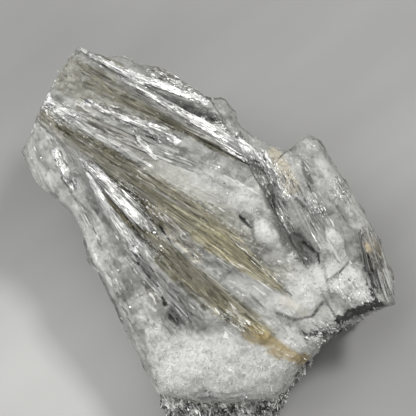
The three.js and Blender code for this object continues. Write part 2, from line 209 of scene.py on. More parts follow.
def face_height(x, y, share):
    """The face over its middle plane: broad forms and waves, rounded off near the rim (share 1)."""
    forms = sum(
        height * np.maximum(0, 1 - inside_ellipse(x, y, *place)) ** crease
        for *place, height, crease in FORMS
    )
    edge = np.maximum(0, (share - (1 - ROUNDED_RIM)) / ROUNDED_RIM)
    rounding = 1 - np.sqrt(np.maximum(0, 1 - edge * edge))
    from_break = 0.5 - 0.5 * np.cos(np.arctan2(y, x) - BREAK_SIDE)
    drop = EDGE_DROP[0] + EDGE_DROP[1] * soft_step(from_break, 0.06, 0.7)
    rough = 0.45 * unevenness(x, y, 11, 0.6) + 0.22 * unevenness(x, y, 5.2, 2.1)
    return (forms + rough) * (1 - 0.5 * rounding) - drop * rounding


def share_at(x, y):
    """How far out a place is, from 0 at the middle of the face to 1 at its rim."""
    return np.minimum(1, np.hypot(x, y) / reach(FACE_OUTLINE, np.arctan2(y, x)))


def to_part(x, y, z):
    """From the face's frame to the part's: turned about X by the lean, and lifted."""
    c, s = math.cos(FACE_LEAN), math.sin(FACE_LEAN)
    return np.stack([x + 0 * z, y * c - z * s, y * s + z * c + FACE_HEIGHT], axis=-1)


def to_face(points):
    """From the part's frame back to the face's: the same turn, undone."""
    c, s = math.cos(FACE_LEAN), math.sin(FACE_LEAN)
    x, y, z = points.T
    z = z - FACE_HEIGHT
    return np.stack([x, y * c + z * s, z * c - y * s], axis=-1)


print("face at its middle:", round(float(face_height(0.0, 0.0, 0.0)), 2), "mm over its plane")

# %% [markdown]
# ## Which way the fibres run
# Everything about this mineral follows its fibres: its ridges, its stains and its glints. They
# fan out from the clean break in the upper left. The fan is ruled between guide lines: a point
# lies some share of the way from one guide to the next, and all points with the same share are on
# one fibre. The block on the right has fibres of its own, steeper ones. The result is a
# coordinate triple for every point: along the fibre, across it, and in depth. Noise read at a
# squeezed copy of that triple comes out stretched along the fibres.

# %% The fibre coordinates
GUIDES = np.array([
    [[-27.6, 44.0], [20.0, 22.0]], [[-25.6, 35.4], [1.4, 22.6]], [[-25.6, 34.4], [11.4, 12.6]],
    [[-31.6, 25.0], [6.4, 4.0]], [[-30.6, 19.4], [17.8, -14.2]], [[-30.0, 17.0], [18.4, -27.2]],
    [[-28.4, 14.6], [1.4, -33.0]], [[-35.6, 13.0], [-17.6, -24.0]], [[-48.0, 5.0], [-32.0, -34.0]],
])
GUIDE_PLACE = np.array([-6.0, 0.0, 5.0, 12.0, 19.0, 26.0, 33.0, 40.0, 52.0])  # each guide's place across
FAN_START = (-40.0, 34.0)  # where lengths along the fan are measured from
RIGHT_TURN = math.radians(-59)  # the way the right block's fibres run
RIGHT_ACROSS = 80  # sets its places across clear of the fan's
VALLEY = (12.6, 4.0)  # a place in the valley between the fan and the right block
OVER_VALLEY = (0.87, 0.5)  # the way over it, to the right block
HALF_VALLEY = 1.2


def right_block(x, y):
    """1 on the steep block on the right, 0 left of the valley beside it."""
    over = (x - VALLEY[0]) * OVER_VALLEY[0] + (y - VALLEY[1]) * OVER_VALLEY[1]
    return soft_step(over, -HALF_VALLEY, HALF_VALLEY)


def fibre_coordinates(points):
    """Along, across and deep, in mm, for points of the part: a fan on the left, straight on the right."""
    x, y, z = to_face(points).T
    start = GUIDES[:, 0]
    run = GUIDES[:, 1] - start
    run = run / np.linalg.norm(run, axis=1, keepdims=True)
    below = (x[:, None] - start[:, 0]) * run[:, 1] - (y[:, None] - start[:, 1]) * run[:, 0]
    passed = np.clip((below > 0).sum(axis=1) - 1, 0, len(GUIDES) - 2)
    rows = np.arange(len(x))
    over = np.maximum(below[rows, passed], 0)
    under = np.maximum(-below[rows, passed + 1], 0)
    step = GUIDE_PLACE[passed + 1] - GUIDE_PLACE[passed]
    across = GUIDE_PLACE[passed] + step * over / (over + under + 1e-9)
    along = np.hypot(x - FAN_START[0], y - FAN_START[1])
    c, s = math.cos(RIGHT_TURN), math.sin(RIGHT_TURN)
    on_right = right_block(x, y) > 0.5
    return np.stack([
        np.where(on_right, x * c + y * s, along),
        np.where(on_right, RIGHT_ACROSS + y * c - x * s, across),
        z,
    ], axis=1)


def fibre_noise(grain, along, across, seed):
    """Soft noise of fibre coordinates, with so many cells to the mm along the fibres and across them."""
    return soft_noise(grain * [along, across, across], 1.0, seed)


probe = fibre_coordinates(to_part(np.array([-12.0, 26.0]), np.array([8.0, 4.0]), np.zeros(2)))
print("fibre coordinates of two places:", probe.round(1).tolist())

# %% [markdown]
# ## Fibre bundles and sugar grains as relief
# Up close the fibrous rock is a stack of long thin boxes, each a little higher or lower than its
# neighbours and tilted its own way, and the white rock is a crust of small blocky grains. Both are
# worked out in three dimensions and carved into the skin along its normals. So on the sides, which
# the fibres run along or are cut across by, the same boxes show lengthwise or end on.

# %% Bundles and grains
def bundles(grain, width, length, seed):
    """Long boxes side by side: the box a point is in gives it a lift, and its place across adds a tilt."""
    along, across, deep = grain.T
    row = np.floor(across / width)
    layer = np.floor(deep / width + 0.5 * chance(row, seed))
    box = np.floor(along / length + chance(row + 13 * layer, seed + 1))
    lift = chance(row * 3 + layer, box * 5 + seed) - 0.5
    tilt = chance(box, row + 7 * layer + seed) - 0.5
    return lift + tilt * (across / width - row - 0.5)


def grains(points, size, seed):
    """Blocky grains: a point belongs to the nearest of a lattice of jittered centres, and its slope."""
    q = points / size
    cell = np.floor(q)
    nearest = np.full(len(q), 9.0)
    height = np.zeros(len(q))
    for step in np.ndindex(3, 3, 3):
        i, j, k = (cell + step - 1).T
        jitter = np.stack([
            chance(i + 7 * k, j + seed), chance(j + 7 * k, i + seed + 3), chance(k + 5 * j, i - seed),
        ], axis=1)
        slope = np.stack([
            chance(i - k, j + 2 * seed), chance(j - k, i + 4), chance(k + i, j + 9),
        ], axis=1) - 0.5
        away = q - (cell + step - 1 + jitter)
        distance = np.linalg.norm(away, axis=1)
        own = (away * slope).sum(axis=1) * 1.6 + chance(i + j, k + seed) - 0.5
        closer = distance < nearest
        nearest = np.where(closer, distance, nearest)
        height = np.where(closer, own, height)
    return height - 0.5 * nearest


print("bundle relief at a point:", bundles(np.array([[3.0, 4.0, 5.0]]), 1.4, 12, 1).round(2))

# %% [markdown]
# ## Stains
# The mineral is clear to white, and its tints lie in patches: straw to olive along the clear
# fibres, white where the grain is fine, and near black where clay is caught between the crystals.
# Some patches are painted light and shade instead: bright is a painted highlight where fibres
# flash, and the smoky grey and the near black also paint shade in the patches named shade or
# shadow. They could be painted by hand, but that takes an unwrapped skin and is hard to change. So
# each patch, streak or crack is a line between two places with a width at each end, and a later
# one lies over those before it. Its edge is frayed by noise stretched along the fibres, as a real
# stain follows its crystals.

# %% Tints
TINTS = {
    "ice": (0.410, 0.413, 0.392),
    "grey": (0.210, 0.212, 0.201),
    "silver": (0.280, 0.282, 0.268),
    "white": (0.545, 0.548, 0.528),
    # bright is painted highlight: the colour of fibres and chips where they flash
    "bright": (0.850, 0.850, 0.830),
    "cream": (0.440, 0.410, 0.330),
    "straw": (0.258, 0.240, 0.164),
    "honey": (0.370, 0.338, 0.212),
    "olive": (0.098, 0.090, 0.052),
    "brown": (0.085, 0.072, 0.038),
    "amber": (0.240, 0.185, 0.075),
    "rust": (0.420, 0.350, 0.250),
    # smoke is the smoky grey of clear crystals, and also painted shade in the patches named shade
    "smoke_and_shade": (0.095, 0.096, 0.090),
    "clay": (0.032, 0.032, 0.030),
}
print(len(TINTS), "tints")

# %% The table of stains
def crack(tint, half_width, strength, *places):
    """The stains of a crack that runs from place to place: one for each stretch, as wide all along."""
    stretches = zip(places, places[1:])
    return [(tint, *near, *far, half_width, half_width, strength) for near, far in stretches]


# tint, x and y of the near end, x and y of the far end, half width at each, strength
STAINS = [
    ("straw", -28.4, 28.6, -13.6, 21.0, 2.6, 1.8, 0.4),  # straw at the break
    ("straw", -28.0, 32.2, -19.2, 29.0, 1.8, 1.4, 0.4),  # straw at the corner
    ("straw", -21.6, 28.2, -7.6, 20.6, 1.4, 1.4, 0.8),  # straw under the edge
    ("olive", -26.4, 32.6, -16.0, 26.6, 0.5, 0.6, 0.6),  # olive lines near the break
    ("silver", -20.0, 33.8, -8.6, 28.2, 0.8, 1.2, 0.75),  # upper silver
    ("brown", -11.6, 31.8, -4.8, 28.2, 0.8, 0.8, 0.35),  # tawny edge
    ("olive", -23.6, 34.6, -17.2, 31.6, 0.32, 0.48, 0.7),  # tawny line at the edge
    ("olive", -14.0, 23.6, 6.4, 13.4, 1.2, 0.9, 0.95),  # olive below the blade
    ("smoke_and_shade", -13.6, 25.6, -4.4, 20.6, 0.6, 0.7, 0.6),  # grey lines
    ("smoke_and_shade", -12.4, 27.0, 1.2, 21.0, 0.7, 1.4, 1.0),  # pocket
    ("clay", -2.4, 22.2, 1.2, 20.8, 0.5, 0.6, 0.6),  # pocket floor
    ("bright", 3.2, 17.4, 10.8, 13.0, 1.9, 1.3, 1.0),  # main blade, far end
    ("smoke_and_shade", -3.2, 23.8, 0.0, 22.4, 1.0, 1.0, 0.6),  # shade left of the knob
    ("silver", 2.0, 24.8, 3.6, 22.6, 1.6, 1.6, 0.8),  # knob
    ("brown", -25.6, 23.4, -22.8, 20.2, 0.8, 0.8, 0.5),  # brown patch
    ("silver", -24.6, 19.6, -13.2, 15.6, 1.8, 1.6, 0.8),  # hollow
    ("smoke_and_shade", -21.6, 19.4, -14.4, 16.4, 0.8, 0.8, 0.45),  # hollow's shade
    ("cream", -23.2, 19.4, -14.4, 15.8, 1.8, 1.6, 0.35),  # hollow's warmth
    ("olive", -23.2, 19.8, -16.0, 17.2, 0.6, 0.7, 0.7),  # hollow's spots
    ("olive", -32.8, 22.2, -26.8, 17.4, 0.8, 1.2, 0.65),  # olive at the break
    ("cream", -32.4, 21.0, -26.0, 17.0, 1.8, 1.8, 0.4),  # warm break
    ("white", -9.6, 12.0, 6.4, 4.0, 2.4, 3.4, 0.75),  # pale shelf
    ("straw", -11.6, 10.6, 15.6, -10.2, 4.4, 2.6, 0.28),  # band's haze
    ("olive", 2.8, 3.8, 6.6, 1.4, 1.2, 0.6, 0.35),  # painted shade above the pit
    ("silver", 5.6, -0.6, 7.6, -4.6, 1.0, 1.0, 0.45),  # grey left of the small nodule
    ("silver", 10.8, -5.4, 16.4, -7.8, 1.2, 1.2, 0.5),  # grey below the small nodule
    ("olive", -29.6, 19.8, -19.2, 13.0, 1.0, 2.0, 0.85),  # olive band, near end
    ("olive", -21.2, 13.4, -6.0, 1.8, 2.4, 3.6, 0.95),  # olive heart
    ("brown", -17.6, 10.6, -11.6, 5.8, 0.8, 1.0, 0.5),  # dark line in the heart
    ("olive", -11.6, 7.0, -2.4, 0.2, 0.8, 1.0, 0.4),  # olive in the heart's far end
    ("straw", -10.6, 6.6, 4.8, -3.8, 2.8, 3.2, 0.8),  # middle band
    ("honey", -0.6, -1.4, 17.8, -15.2, 2.8, 0.5, 0.95),  # middle tip
    ("brown", 1.4, -3.4, 10.8, -9.4, 0.8, 0.6, 0.2),  # brown in the tip
    ("olive", -13.6, -0.6, -4.4, -9.4, 1.2, 2.4, 0.95),  # olive patch
    ("straw", -8.6, -6.2, 11.2, -22.0, 2.6, 2.2, 0.9),  # lower band
    ("olive", -10.0, -4.6, 6.8, -19.0, 1.2, 1.2, 0.5),  # lower band's depth
    ("olive", -10.0, -7.4, -0.4, -16.6, 0.8, 0.6, 0.7),  # lower band's edge
    ("cream", -10.0, 2.2, -2.0, -6.4, 1.4, 1.4, 0.85),  # pale strip
    ("honey", 2.8, -16.6, 10.8, -22.2, 1.6, 1.6, 0.75),  # sparkly end
    ("silver", -0.4, -7.8, 10.8, -15.0, 1.8, 2.2, 0.75),  # mottled grey
    ("silver", 10.8, -15.0, 18.4, -20.6, 1.2, 1.2, 0.7),  # grey below it
    ("white", -34.2, 14.2, -31.6, 9.4, 2.2, 2.4, 0.2),  # left corner
    ("smoke_and_shade", -34.4, 15.0, -32.0, 11.4, 0.7, 0.7, 0.5),  # left corner's shade
    ("smoke_and_shade", -32.4, 8.2, -30.4, 5.8, 0.6, 0.6, 0.4),  # left corner's lower shade
    ("white", -27.2, 5.0, -21.6, -5.0, 2.2, 2.4, 0.3),  # flank, upper
    ("smoke_and_shade", -24.4, 6.6, -16.8, -5.4, 0.7, 0.9, 0.5),  # grey beside the second streak
    ("white", -21.2, -7.4, -16.0, -18.6, 2.4, 2.0, 0.2),  # flank, lower
    ("white", -23.2, -2.6, -20.4, -6.6, 2.0, 2.0, 0.45),  # left lump
    ("smoke_and_shade", -25.6, -2.2, -23.6, -7.8, 0.5, 0.6, 0.7),  # lump's shade
    ("smoke_and_shade", -21.2, -10.6, -17.6, -19.4, 0.5, 0.6, 0.6),  # outer shade
    ("silver", -13.2, -9.4, -8.0, -18.2, 1.6, 1.8, 0.7),  # flank plates
    ("clay", -15.0, -5.4, -11.6, -9.8, 0.6, 0.8, 0.85),  # left streaks
    ("clay", -10.0, -12.2, -8.4, -16.2, 0.2, 0.4, 0.7),  # plate's edge
    ("olive", -12.0, -12.6, -10.2, -15.0, 0.6, 0.6, 0.5),  # olive on the flank
    ("smoke_and_shade", -6.8, -13.0, -2.0, -20.2, 1.4, 1.8, 0.65),  # lower left shade
    ("smoke_and_shade", -7.4, -18.0, -5.6, -20.2, 1.1, 1.1, 0.9),  # lower left pit
    ("clay", -7.0, -18.4, -6.0, -19.6, 0.6, 0.6, 0.5),  # lower left pit's core
    ("rust", -10.2, -21.6, -8.0, -24.6, 0.5, 0.5, 0.4),  # tawny lines
    ("white", -6.0, -28.2, 10.8, -29.0, 5.6, 6.0, 1.0),  # sugary foot
    ("white", -7.6, -24.6, 8.4, -24.2, 2.8, 2.8, 0.5),  # foot, upper part
    ("white", -10.0, -22.6, -7.6, -31.0, 2.6, 2.8, 0.9),  # foot, left end
    ("white", 9.6, -28.2, 16.8, -23.8, 3.4, 2.4, 0.9),  # foot, right end
    ("amber", 8.4, -21.4, 19.6, -27.4, 1.8, 1.4, 0.85),  # amber stain
    ("white", 4.8, -11.0, 13.6, -15.0, 1.0, 2.4, 0.4),  # between the bands
    ("white", 18.0, -14.6, 20.2, -11.4, 4.2, 4.0, 1.0),  # white node
    ("cream", 15.2, -15.0, 19.2, -17.6, 1.0, 1.0, 0.4),  # cream on the node
    ("white", 10.4, -0.6, 13.0, -3.2, 1.8, 1.6, 0.9),  # small nodule
    ("smoke_and_shade", 9.6, -3.8, 12.8, -5.0, 0.32, 0.28, 0.6),  # shade under the small nodule
    ("smoke_and_shade", 8.6, 0.6, 9.2, -3.0, 0.36, 0.32, 0.7),  # shade round the small nodule
    ("smoke_and_shade", 9.8, 12.0, 16.8, -4.0, 1.5, 1.6, 0.72),  # valley
    ("silver", 15.2, 7.4, 18.4, -1.8, 1.4, 1.4, 0.9),  # valley's right side
    ("bright", 13.2, 10.2, 16.0, -2.2, 0.4, 0.4, 0.18),  # valley's bright ridge
    ("olive", 15.2, 11.4, 17.0, 7.8, 1.0, 0.8, 0.75),  # olive beside it
    ("white", 16.4, 10.6, 19.6, 4.2, 1.6, 1.2, 0.7),  # first ridge
    ("cream", 13.2, 14.6, 16.8, 7.8, 1.2, 1.6, 1.0),  # cream ridge
    ("smoke_and_shade", 18.8, 12.4, 20.8, 7.0, 0.6, 0.8, 0.8),  # gap between ridges
    ("silver", 20.8, 16.6, 22.8, 15.0, 2.4, 2.0, 0.65),  # block's top
    ("smoke_and_shade", 22.8, 17.0, 24.2, 15.2, 0.4, 0.4, 0.7),  # block's dark corner
    ("white", 22.4, 13.0, 28.0, 4.2, 1.2, 1.0, 0.45),  # second ridge
    ("silver", 22.8, 5.0, 28.4, -2.2, 2.4, 2.2, 0.7),  # grey plain
    ("smoke_and_shade", 17.8, -2.2, 20.4, -7.0, 1.6, 1.2, 1.0),  # cavity
    ("smoke_and_shade", 17.2, -6.2, 19.0, -7.4, 0.5, 0.5, 0.9),  # cavity's end
    ("white", 24.8, -2.2, 26.8, -7.4, 1.4, 1.6, 0.9),  # white facet
    ("white", 25.4, -10.2, 31.6, -13.4, 3.0, 2.6, 1.0),  # bloom
    ("smoke_and_shade", 32.4, -5.8, 35.6, -15.4, 1.8, 1.8, 0.55),  # right edge's shade
    ("clay", 33.6, 1.0, 35.2, -4.2, 0.5, 0.6, 0.62),  # right edge
    ("clay", 30.4, -5.0, 32.6, -8.0, 0.6, 1.0, 0.35),  # right edge, inner
    ("clay", 26.6, -19.2, 34.0, -16.0, 1.12, 1.2, 1.0),  # underside
    ("clay", 19.0, -21.6, 23.6, -22.2, 0.6, 0.8, 0.7),  # specks
    ("silver", -13.6, 9.0, -4.8, 3.6, 0.4, 0.6, 0.35),  # pale threads in the heart
    ("clay", 32.6, -7.4, 34.6, -15.0, 2.0, 2.0, 0.55),  # right edge, lower
    ("clay", 36.0, -4.6, 36.8, -8.6, 0.8, 0.6, 0.5),  # right edge, outer
    ("white", 35.6, -7.8, 37.0, -13.0, 0.6, 0.6, 0.75),  # vein in the edge
    ("silver", 32.8, -6.6, 34.0, -10.6, 0.32, 0.32, 0.7),  # second vein
    ("silver", 35.2, -14.6, 37.8, -15.8, 1.2, 1.2, 0.7),  # right corner
    ("rust", 32.6, -4.2, 33.8, -5.0, 1.4, 1.4, 1.0),  # rusty spot
    ("bright", -25.6, 35.2, -11.6, 28.2, 0.3, 0.72, 0.8),  # top line
    ("bright", -17.6, 29.6, -9.6, 24.2, 0.5, 0.4, 0.85),  # main blade, near end
    ("bright", -10.0, 24.4, 3.2, 17.4, 0.4, 1.9, 1.0),  # main blade
    ("bright", -16.0, 30.0, -0.6, 24.6, 0.6, 0.7, 0.7),  # upper branch
    ("bright", -32.4, 25.0, -26.0, 21.8, 1.2, 0.8, 0.75),  # silver patch
    ("bright", -24.4, 24.6, -6.4, 17.0, 0.6, 0.8, 0.8),  # granular line
    ("bright", -29.6, 22.6, -11.6, 12.0, 0.5, 0.6, 0.35),  # second line
    ("bright", -30.4, 14.6, -27.2, 8.2, 0.9, 1.1, 1.0),  # bright patch
    ("bright", -25.6, 13.4, -17.6, 6.0, 0.3, 2.4, 1.0),  # first streak
    ("bright", -17.6, 6.0, -11.2, -0.6, 2.4, 0.8, 1.0),  # first streak, far end
    ("bright", -24.2, 11.0, -15.0, -3.8, 0.3, 1.8, 1.0),  # second streak
    ("olive", -21.2, 7.0, -13.2, -2.6, 0.2, 0.8, 1.0),  # dark wedge
    ("olive", -20.4, 10.6, -10.4, 0.6, 0.4, 1.8, 0.65),  # beside the first streak
    # a painted shadow, in the near black of the clay tint
    ("clay", -11.6, 17.8, -10.2, 16.0, 0.28, 0.44, 0.5),  # small blade's shadow
    ("clay", -17.2, 17.8, -15.4, 16.6, 0.26, 0.38, 0.6),  # spot in the hollow
    ("clay", 6.6, 1.6, 8.6, -0.6, 0.52, 0.2, 0.8),  # pit above the small nodule
    *crack("clay", 0.24, 0.8, (19.0, -3.6), (21.6, -5.8), (22.2, -7.8)),
    *crack("smoke_and_shade", 0.32, 0.85, (22.8, -15.4), (20.8, -18.2), (17.6, -19.0), (13.8, -17.6)),
    *crack("smoke_and_shade", 0.28, 0.9, (17.6, 5.2), (20.6, 2.2)),
    *crack("smoke_and_shade", 0.26, 0.8, (25.4, 3.8), (27.4, 0.8)),
    *crack("smoke_and_shade", 0.24, 0.8, (28.0, -7.4), (26.4, -9.4)),
    *crack("smoke_and_shade", 0.24, 0.6, (26.4, -9.4), (23.8, -11.2)),
    *crack("smoke_and_shade", 0.22, 0.6, (23.0, -7.4), (24.0, -13.0), (25.0, -15.4)),
    *crack("smoke_and_shade", 0.24, 0.6, (8.4, -13.8), (11.6, -17.2)),
    *crack("smoke_and_shade", 0.22, 0.7, (-25.2, -2.6), (-21.6, -10.2), (-17.6, -19.4)),
    *crack("clay", 0.22, 0.7, (26.4, 11.0), (29.2, 7.0), (34.8, -0.6)),
    *crack("smoke_and_shade", 0.24, 0.8, (-0.6, 25.4), (3.2, 25.2), (5.4, 22.6)),
    *crack("smoke_and_shade", 0.24, 0.6, (-29.2, 9.4), (-26.4, 5.0), (-23.2, 2.2)),
    *crack("clay", 0.18, 0.7, (-13.2, 25.4), (-6.4, 20.6), (-0.4, 16.6)),
    *crack("clay", 0.2, 0.7, (-0.4, 16.6), (8.4, 11.8)),
    *crack("smoke_and_shade", 0.2, 0.6, (-21.6, 24.2), (-11.6, 20.2)),
    *crack("clay", 0.24, 0.6, (-9.6, -0.2), (-4.8, -7.4)),
    ("bright", -29.2, 32.4, -35.6, 18.0, 0.12, 0.12, 0.45),  # break line
    ("bright", -14.2, 17.4, -10.2, 13.4, 0.64, 0.72, 1.0),  # small blade
]
print(len(STAINS), "stains")

# %% Where the stains lie
FRAY = 0.3  # how far noise moves a stain's edge, in half widths
STAIN_EDGE = (0.6, 1.3)  # a stain is full inside the first of these half widths, and gone at the second


def off_line(x, y, x0, y0, x1, y1, width_near, width_far):
    """How far a point is from a line between two places, over the line's width at the nearest spot."""
    run_x, run_y = x1 - x0, y1 - y0
    t = np.clip(((x - x0) * run_x + (y - y0) * run_y) / (run_x**2 + run_y**2), 0, 1)
    return np.hypot(x - x0 - run_x * t, y - y0 - run_y * t) / (width_near + (width_far - width_near) * t)


def stain_masks(points):
    """How strong each stain is at each point: full near its line, and frayed by streaky noise."""
    x, y, z = to_face(points).T
    grain = fibre_coordinates(points)
    streaks = fibre_noise(grain, 0.16, 1.3, 3) + 1.6 * bundles(grain, 0.5, 4.0, 8)
    near_face = soft_step(z + 2.5 * soft_noise(points, 3.0, 12), -9.0, -3.0)
    for tint, *line, strength in STAINS:
        out = off_line(x, y, *line) + FRAY * streaks
        yield tint, strength * near_face * (1 - soft_step(out, *STAIN_EDGE))


print("1 mm off a line 2 mm wide is", off_line(3.0, 1.0, 0.0, 0.0, 6.0, 0.0, 1.0, 1.0), "half widths off")

# %% What the rock is like
SIDE_BANDS = [("straw", 60), ("white", 70), ("olive", 80)]  # tints of the sides, with their seeds
# how silky the rock is in each tint, in the other tints, and where it is bare
SILKY = {
    "bright": 1, "straw": 1, "olive": 1, "brown": 1, "honey": 0.6, "amber": 0.4, "smoke_and_shade": 0.35,
    "silver": 0.15,
}
OTHER_SILK = 0.1
BARE_SILK = 0.25


def bare_tint(points, grain, depth):
    """Icy to grey in clouds, and deep on the sides bands of other tints that follow the fibres."""
    cloud = 0.7 * soft_noise(points, 5.5, 21) + 0.5 * fibre_noise(grain, 0.16, 0.6, 5)
    cloud = np.clip(0.50 + 0.62 * (cloud + 0.25 * soft_noise(points, 1.8, 30)), 0, 1)
    tint = blend(np.array(TINTS["grey"]), TINTS["ice"], cloud[:, None])
    for colour, seed in SIDE_BANDS:
        wave = fibre_noise(grain, 0.05, 0.3, seed) + 0.3 * fibre_noise(grain, 0.1, 0.9, seed + 1)
        band = depth * 0.5 * soft_step(wave, 0.25, 0.6)
        tint = blend(tint, TINTS[colour], band[:, None])
    return tint


def clinging_clay(points):
    """1 at the contact, and 0 a little over it, on a level made ragged by two upright noises."""
    level = points[:, 2] - CONTACT_HEIGHT
    level = level - 1.2 * soft_noise(points * [1, 1, 0.4], 3.0, 40)
    level = level - 1.0 * soft_noise(points * [1, 1, 0.3], 1.0, 41)
    return 1 - soft_step(level, 0.2, 1.6)


def rock_at(points):
    """What the rock is like at each point: its tint, its share of painted highlight, and how silky, sugary
    and clayey it is.
    """
    grain = fibre_coordinates(points)
    x, y, z = to_face(points).T
    depth = 1 - soft_step(z, -6.0, -2.0)
    tint = bare_tint(points, grain, depth)
    silk = BARE_SILK * (1 - 0.7 * right_block(x, y)) + 0.4 * depth
    shine, sugar, clay = np.zeros((3, len(points)))
    for colour, mask in stain_masks(points):
        if colour not in ("bright", "clay"):
            tint = blend(tint, TINTS[colour], mask[:, None])
        silk = blend(silk, SILKY.get(colour, OTHER_SILK), mask)
        shine = blend(shine, colour == "bright", mask)
        sugar = blend(sugar, colour == "white", mask)
        clay = blend(clay, colour == "clay", mask)
    drift = 1 + 0.15 * fibre_noise(grain, 0.14, 0.5, 50) + 0.09 * soft_noise(points, 2.6, 51) * (1 - sugar)
    return tint * drift[:, None], shine, silk, sugar, np.maximum(clay, clinging_clay(points))


def shown_tint(tint, shine, clay):
    """The tint with the painted highlight and the clayey shares laid over it."""
    tint = blend(tint, TINTS["bright"], shine[:, None])
    return blend(tint, TINTS["clay"], clay[:, None])


foot = rock_at(to_part(np.zeros(1), np.full(1, -28.0), np.full(1, 2.0)))
print("in the foot: tint", foot[0].round(2).tolist(), "and sugary", foot[3].round(2).tolist())

# %% [markdown]
# ## Skins
# A lump of rock is one closed surface, so it can be one grid wrapped round it. It could be
# sculpted too, but a grid's nodes can all be worked out at once by formula, evenly spaced where
# the detail is. The face is a square grid pressed into a disc, and the disc is stretched to the
# outline: a place has a direction and a share of the way out to the rim. From the rim, rings go
# down the sides to the contact, and shrink along the contact to a pole. The clay is the same
# without the square grid.

# %% Wrapping a square grid
def wrapped_square(cells):
    """A square grid pressed into a round one, x = a sqrt(1 - b^2/2) and so for y, as share and angle."""
    a = np.linspace(-1, 1, cells + 1)
    across, up = np.meshgrid(a, a)
    x, y = across * np.sqrt(1 - up**2 / 2), up * np.sqrt(1 - across**2 / 2)
    return np.minimum(np.hypot(x, y), 1).ravel(), np.arctan2(y, x).ravel()


def square_faces(cells):
    """The quads of a square grid, anticlockwise from above."""
    n = np.arange((cells + 1) ** 2).reshape(cells + 1, cells + 1)
    return np.stack([n[:-1, :-1], n[:-1, 1:], n[1:, 1:], n[1:, :-1]], axis=-1).reshape(-1, 4)


def square_rim(cells):
    """The nodes on a square grid's rim, anticlockwise."""
    n = np.arange((cells + 1) ** 2).reshape(cells + 1, cells + 1)
    return np.concatenate([n[0, :-1], n[:-1, -1], n[-1, :0:-1], n[:0:-1, 0]])


def ring_faces(rings):
    """The quads between rings of node numbers, each ring joined to the one before it."""
    upper, lower = rings[:-1], rings[1:]
    return np.stack([
        lower, np.roll(lower, -1, axis=1), np.roll(upper, -1, axis=1), upper,
    ], axis=-1).reshape(-1, 4)


def pole_faces(pole, first, second):
    """The triangles from a pole to the ring round it, whose sides run from the first nodes to the second."""
    return np.stack([np.full(len(first), pole), first, second], axis=1)


def level_way(angle):
    """A level unit vector in each direction."""
    return np.stack([np.cos(angle), np.sin(angle), 0 * angle], axis=1)


def outward_normals(points, faces):
    """Each node's mean face normal: the cross products of the faces' diagonals, added up and made unit."""
    p = points[faces]
    normal = np.cross(p[:, 2] - p[:, 0], p[:, 3] - p[:, 1])
    total = np.stack([
        np.bincount(faces.ravel(), np.repeat(normal[:, axis], 4), len(points)) for axis in range(3)
    ], axis=1)
    return total / (np.linalg.norm(total, axis=1, keepdims=True) + 1e-12)


print("a face grid of 4 cells has", len(square_rim(4)), "rim nodes")

# %% [markdown]
# ## Putting a surface into Blender
# One helper makes every mesh of the specimen. Besides the shape it stores what the finishes need
# on the nodes: the tint, the fibre coordinates, the share of painted highlight, and how silky,
# sugary, clayey or pearly the piece is there. A finish reads these layers by name, and a layer
# that a piece lacks counts as 0.

# %% Making a piece
def make_piece(name, points, faces, smooth, **layers):
    """A mesh object at the origin, from points in mm. A layer has a tint, 3 numbers or 1 for each node."""
    mesh = bpy.data.meshes.new(name)
    mesh.from_pydata((points * MM).tolist(), [], [f for part in faces for f in part.tolist()])
    for layer, values in layers.items():
        kind, field = ("FLOAT_VECTOR", "vector") if values.ndim == 2 else ("FLOAT", "value")
        if layer == "tint":
            kind, field = "FLOAT_COLOR", "color"
            values = np.concatenate([values, np.ones((len(values), 1))], axis=1)
        data = mesh.attributes.new(layer, kind, "POINT").data
        data.foreach_set(field, values.astype(np.float32).ravel())
    if smooth:
        mesh.shade_smooth()
    else:
        mesh.shade_flat()
    piece = bpy.data.objects.new(name, mesh)
    bpy.context.collection.objects.link(piece)
    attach(piece, "root")
    print(name, len(points), "nodes,", sum(len(f) * (f.shape[1] - 2) for f in faces), "triangles")
    return piece


# %% [markdown]
# ## The contact
# The crystals grew on the clay, so the two share one wavy surface. It is worked out once and used
# by both skins.

# %% The contact sheet
CONTACT_SHARES = (0.97, 0.9, 0.7, 0.4)  # rings of the contact, as shares of its radius


def contact_points(angle, share):
    """A shrunken contact outline, on a level that waves near the rim."""
    radius = share * reach(CONTACT_OUTLINE, angle)
    x, y = radius * np.cos(angle), radius * np.sin(angle)
    wave = CONTACT_WAVE * unevenness(x, y, 34, 4.2) * soft_step(share, 0.3, 0.9)
    return np.stack([x, y, CONTACT_HEIGHT + wave], axis=1)


lowest = contact_points(np.linspace(-math.pi, math.pi, 73), np.ones(73))[:, 2].min()
print("the contact's rim comes down to", round(float(lowest), 1), "mm above the table")

# %% [markdown]
# ## The crystal mass
# The face has about three grid cells to the millimetre, which is as fine as the coarser fibres.
# The sides go down in rings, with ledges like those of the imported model, and the relief is carved
# in: boxes along the fibres where the rock is silky, plates where it is icy, grains where sugary.

# %% The crystals' skin
FACE_CELLS = 250
WALL_RINGS = 26
WALL_LEDGE = 1.4  # the most that a ledge steps in or out, half way down
RIM_BREAK = math.radians(148)  # the middle of the clean break, whose rim isn't frayed
RIM_FRAY = 0.012  # how far the rest of the rim is nicked in and out, as a share of the radius


def face_radius(share, angle):
    """How far out a grid node is: along a calmed outline inside, and the true one, nicked, at the rim."""
    around = np.linspace(-math.pi, math.pi, 721)
    turns = np.linspace(-0.3, 0.3, 13)
    calm = sum(reach(FACE_OUTLINE, around + turn) for turn in turns) / len(turns)
    near_rim = soft_step(share, 0.6, 1)
    radius = share * blend(np.interp(angle, around, calm), reach(FACE_OUTLINE, angle), near_rim)
    off_break = soft_step(np.abs(angle - RIM_BREAK), 0.18, 0.35)
    nicks = chance(np.floor(angle * 40), 2) - 0.5 + unevenness(angle * 9, share, 1.3, 2)
    return radius * (1 + RIM_FRAY * off_break * soft_step(share, 0.9, 1) * nicks)


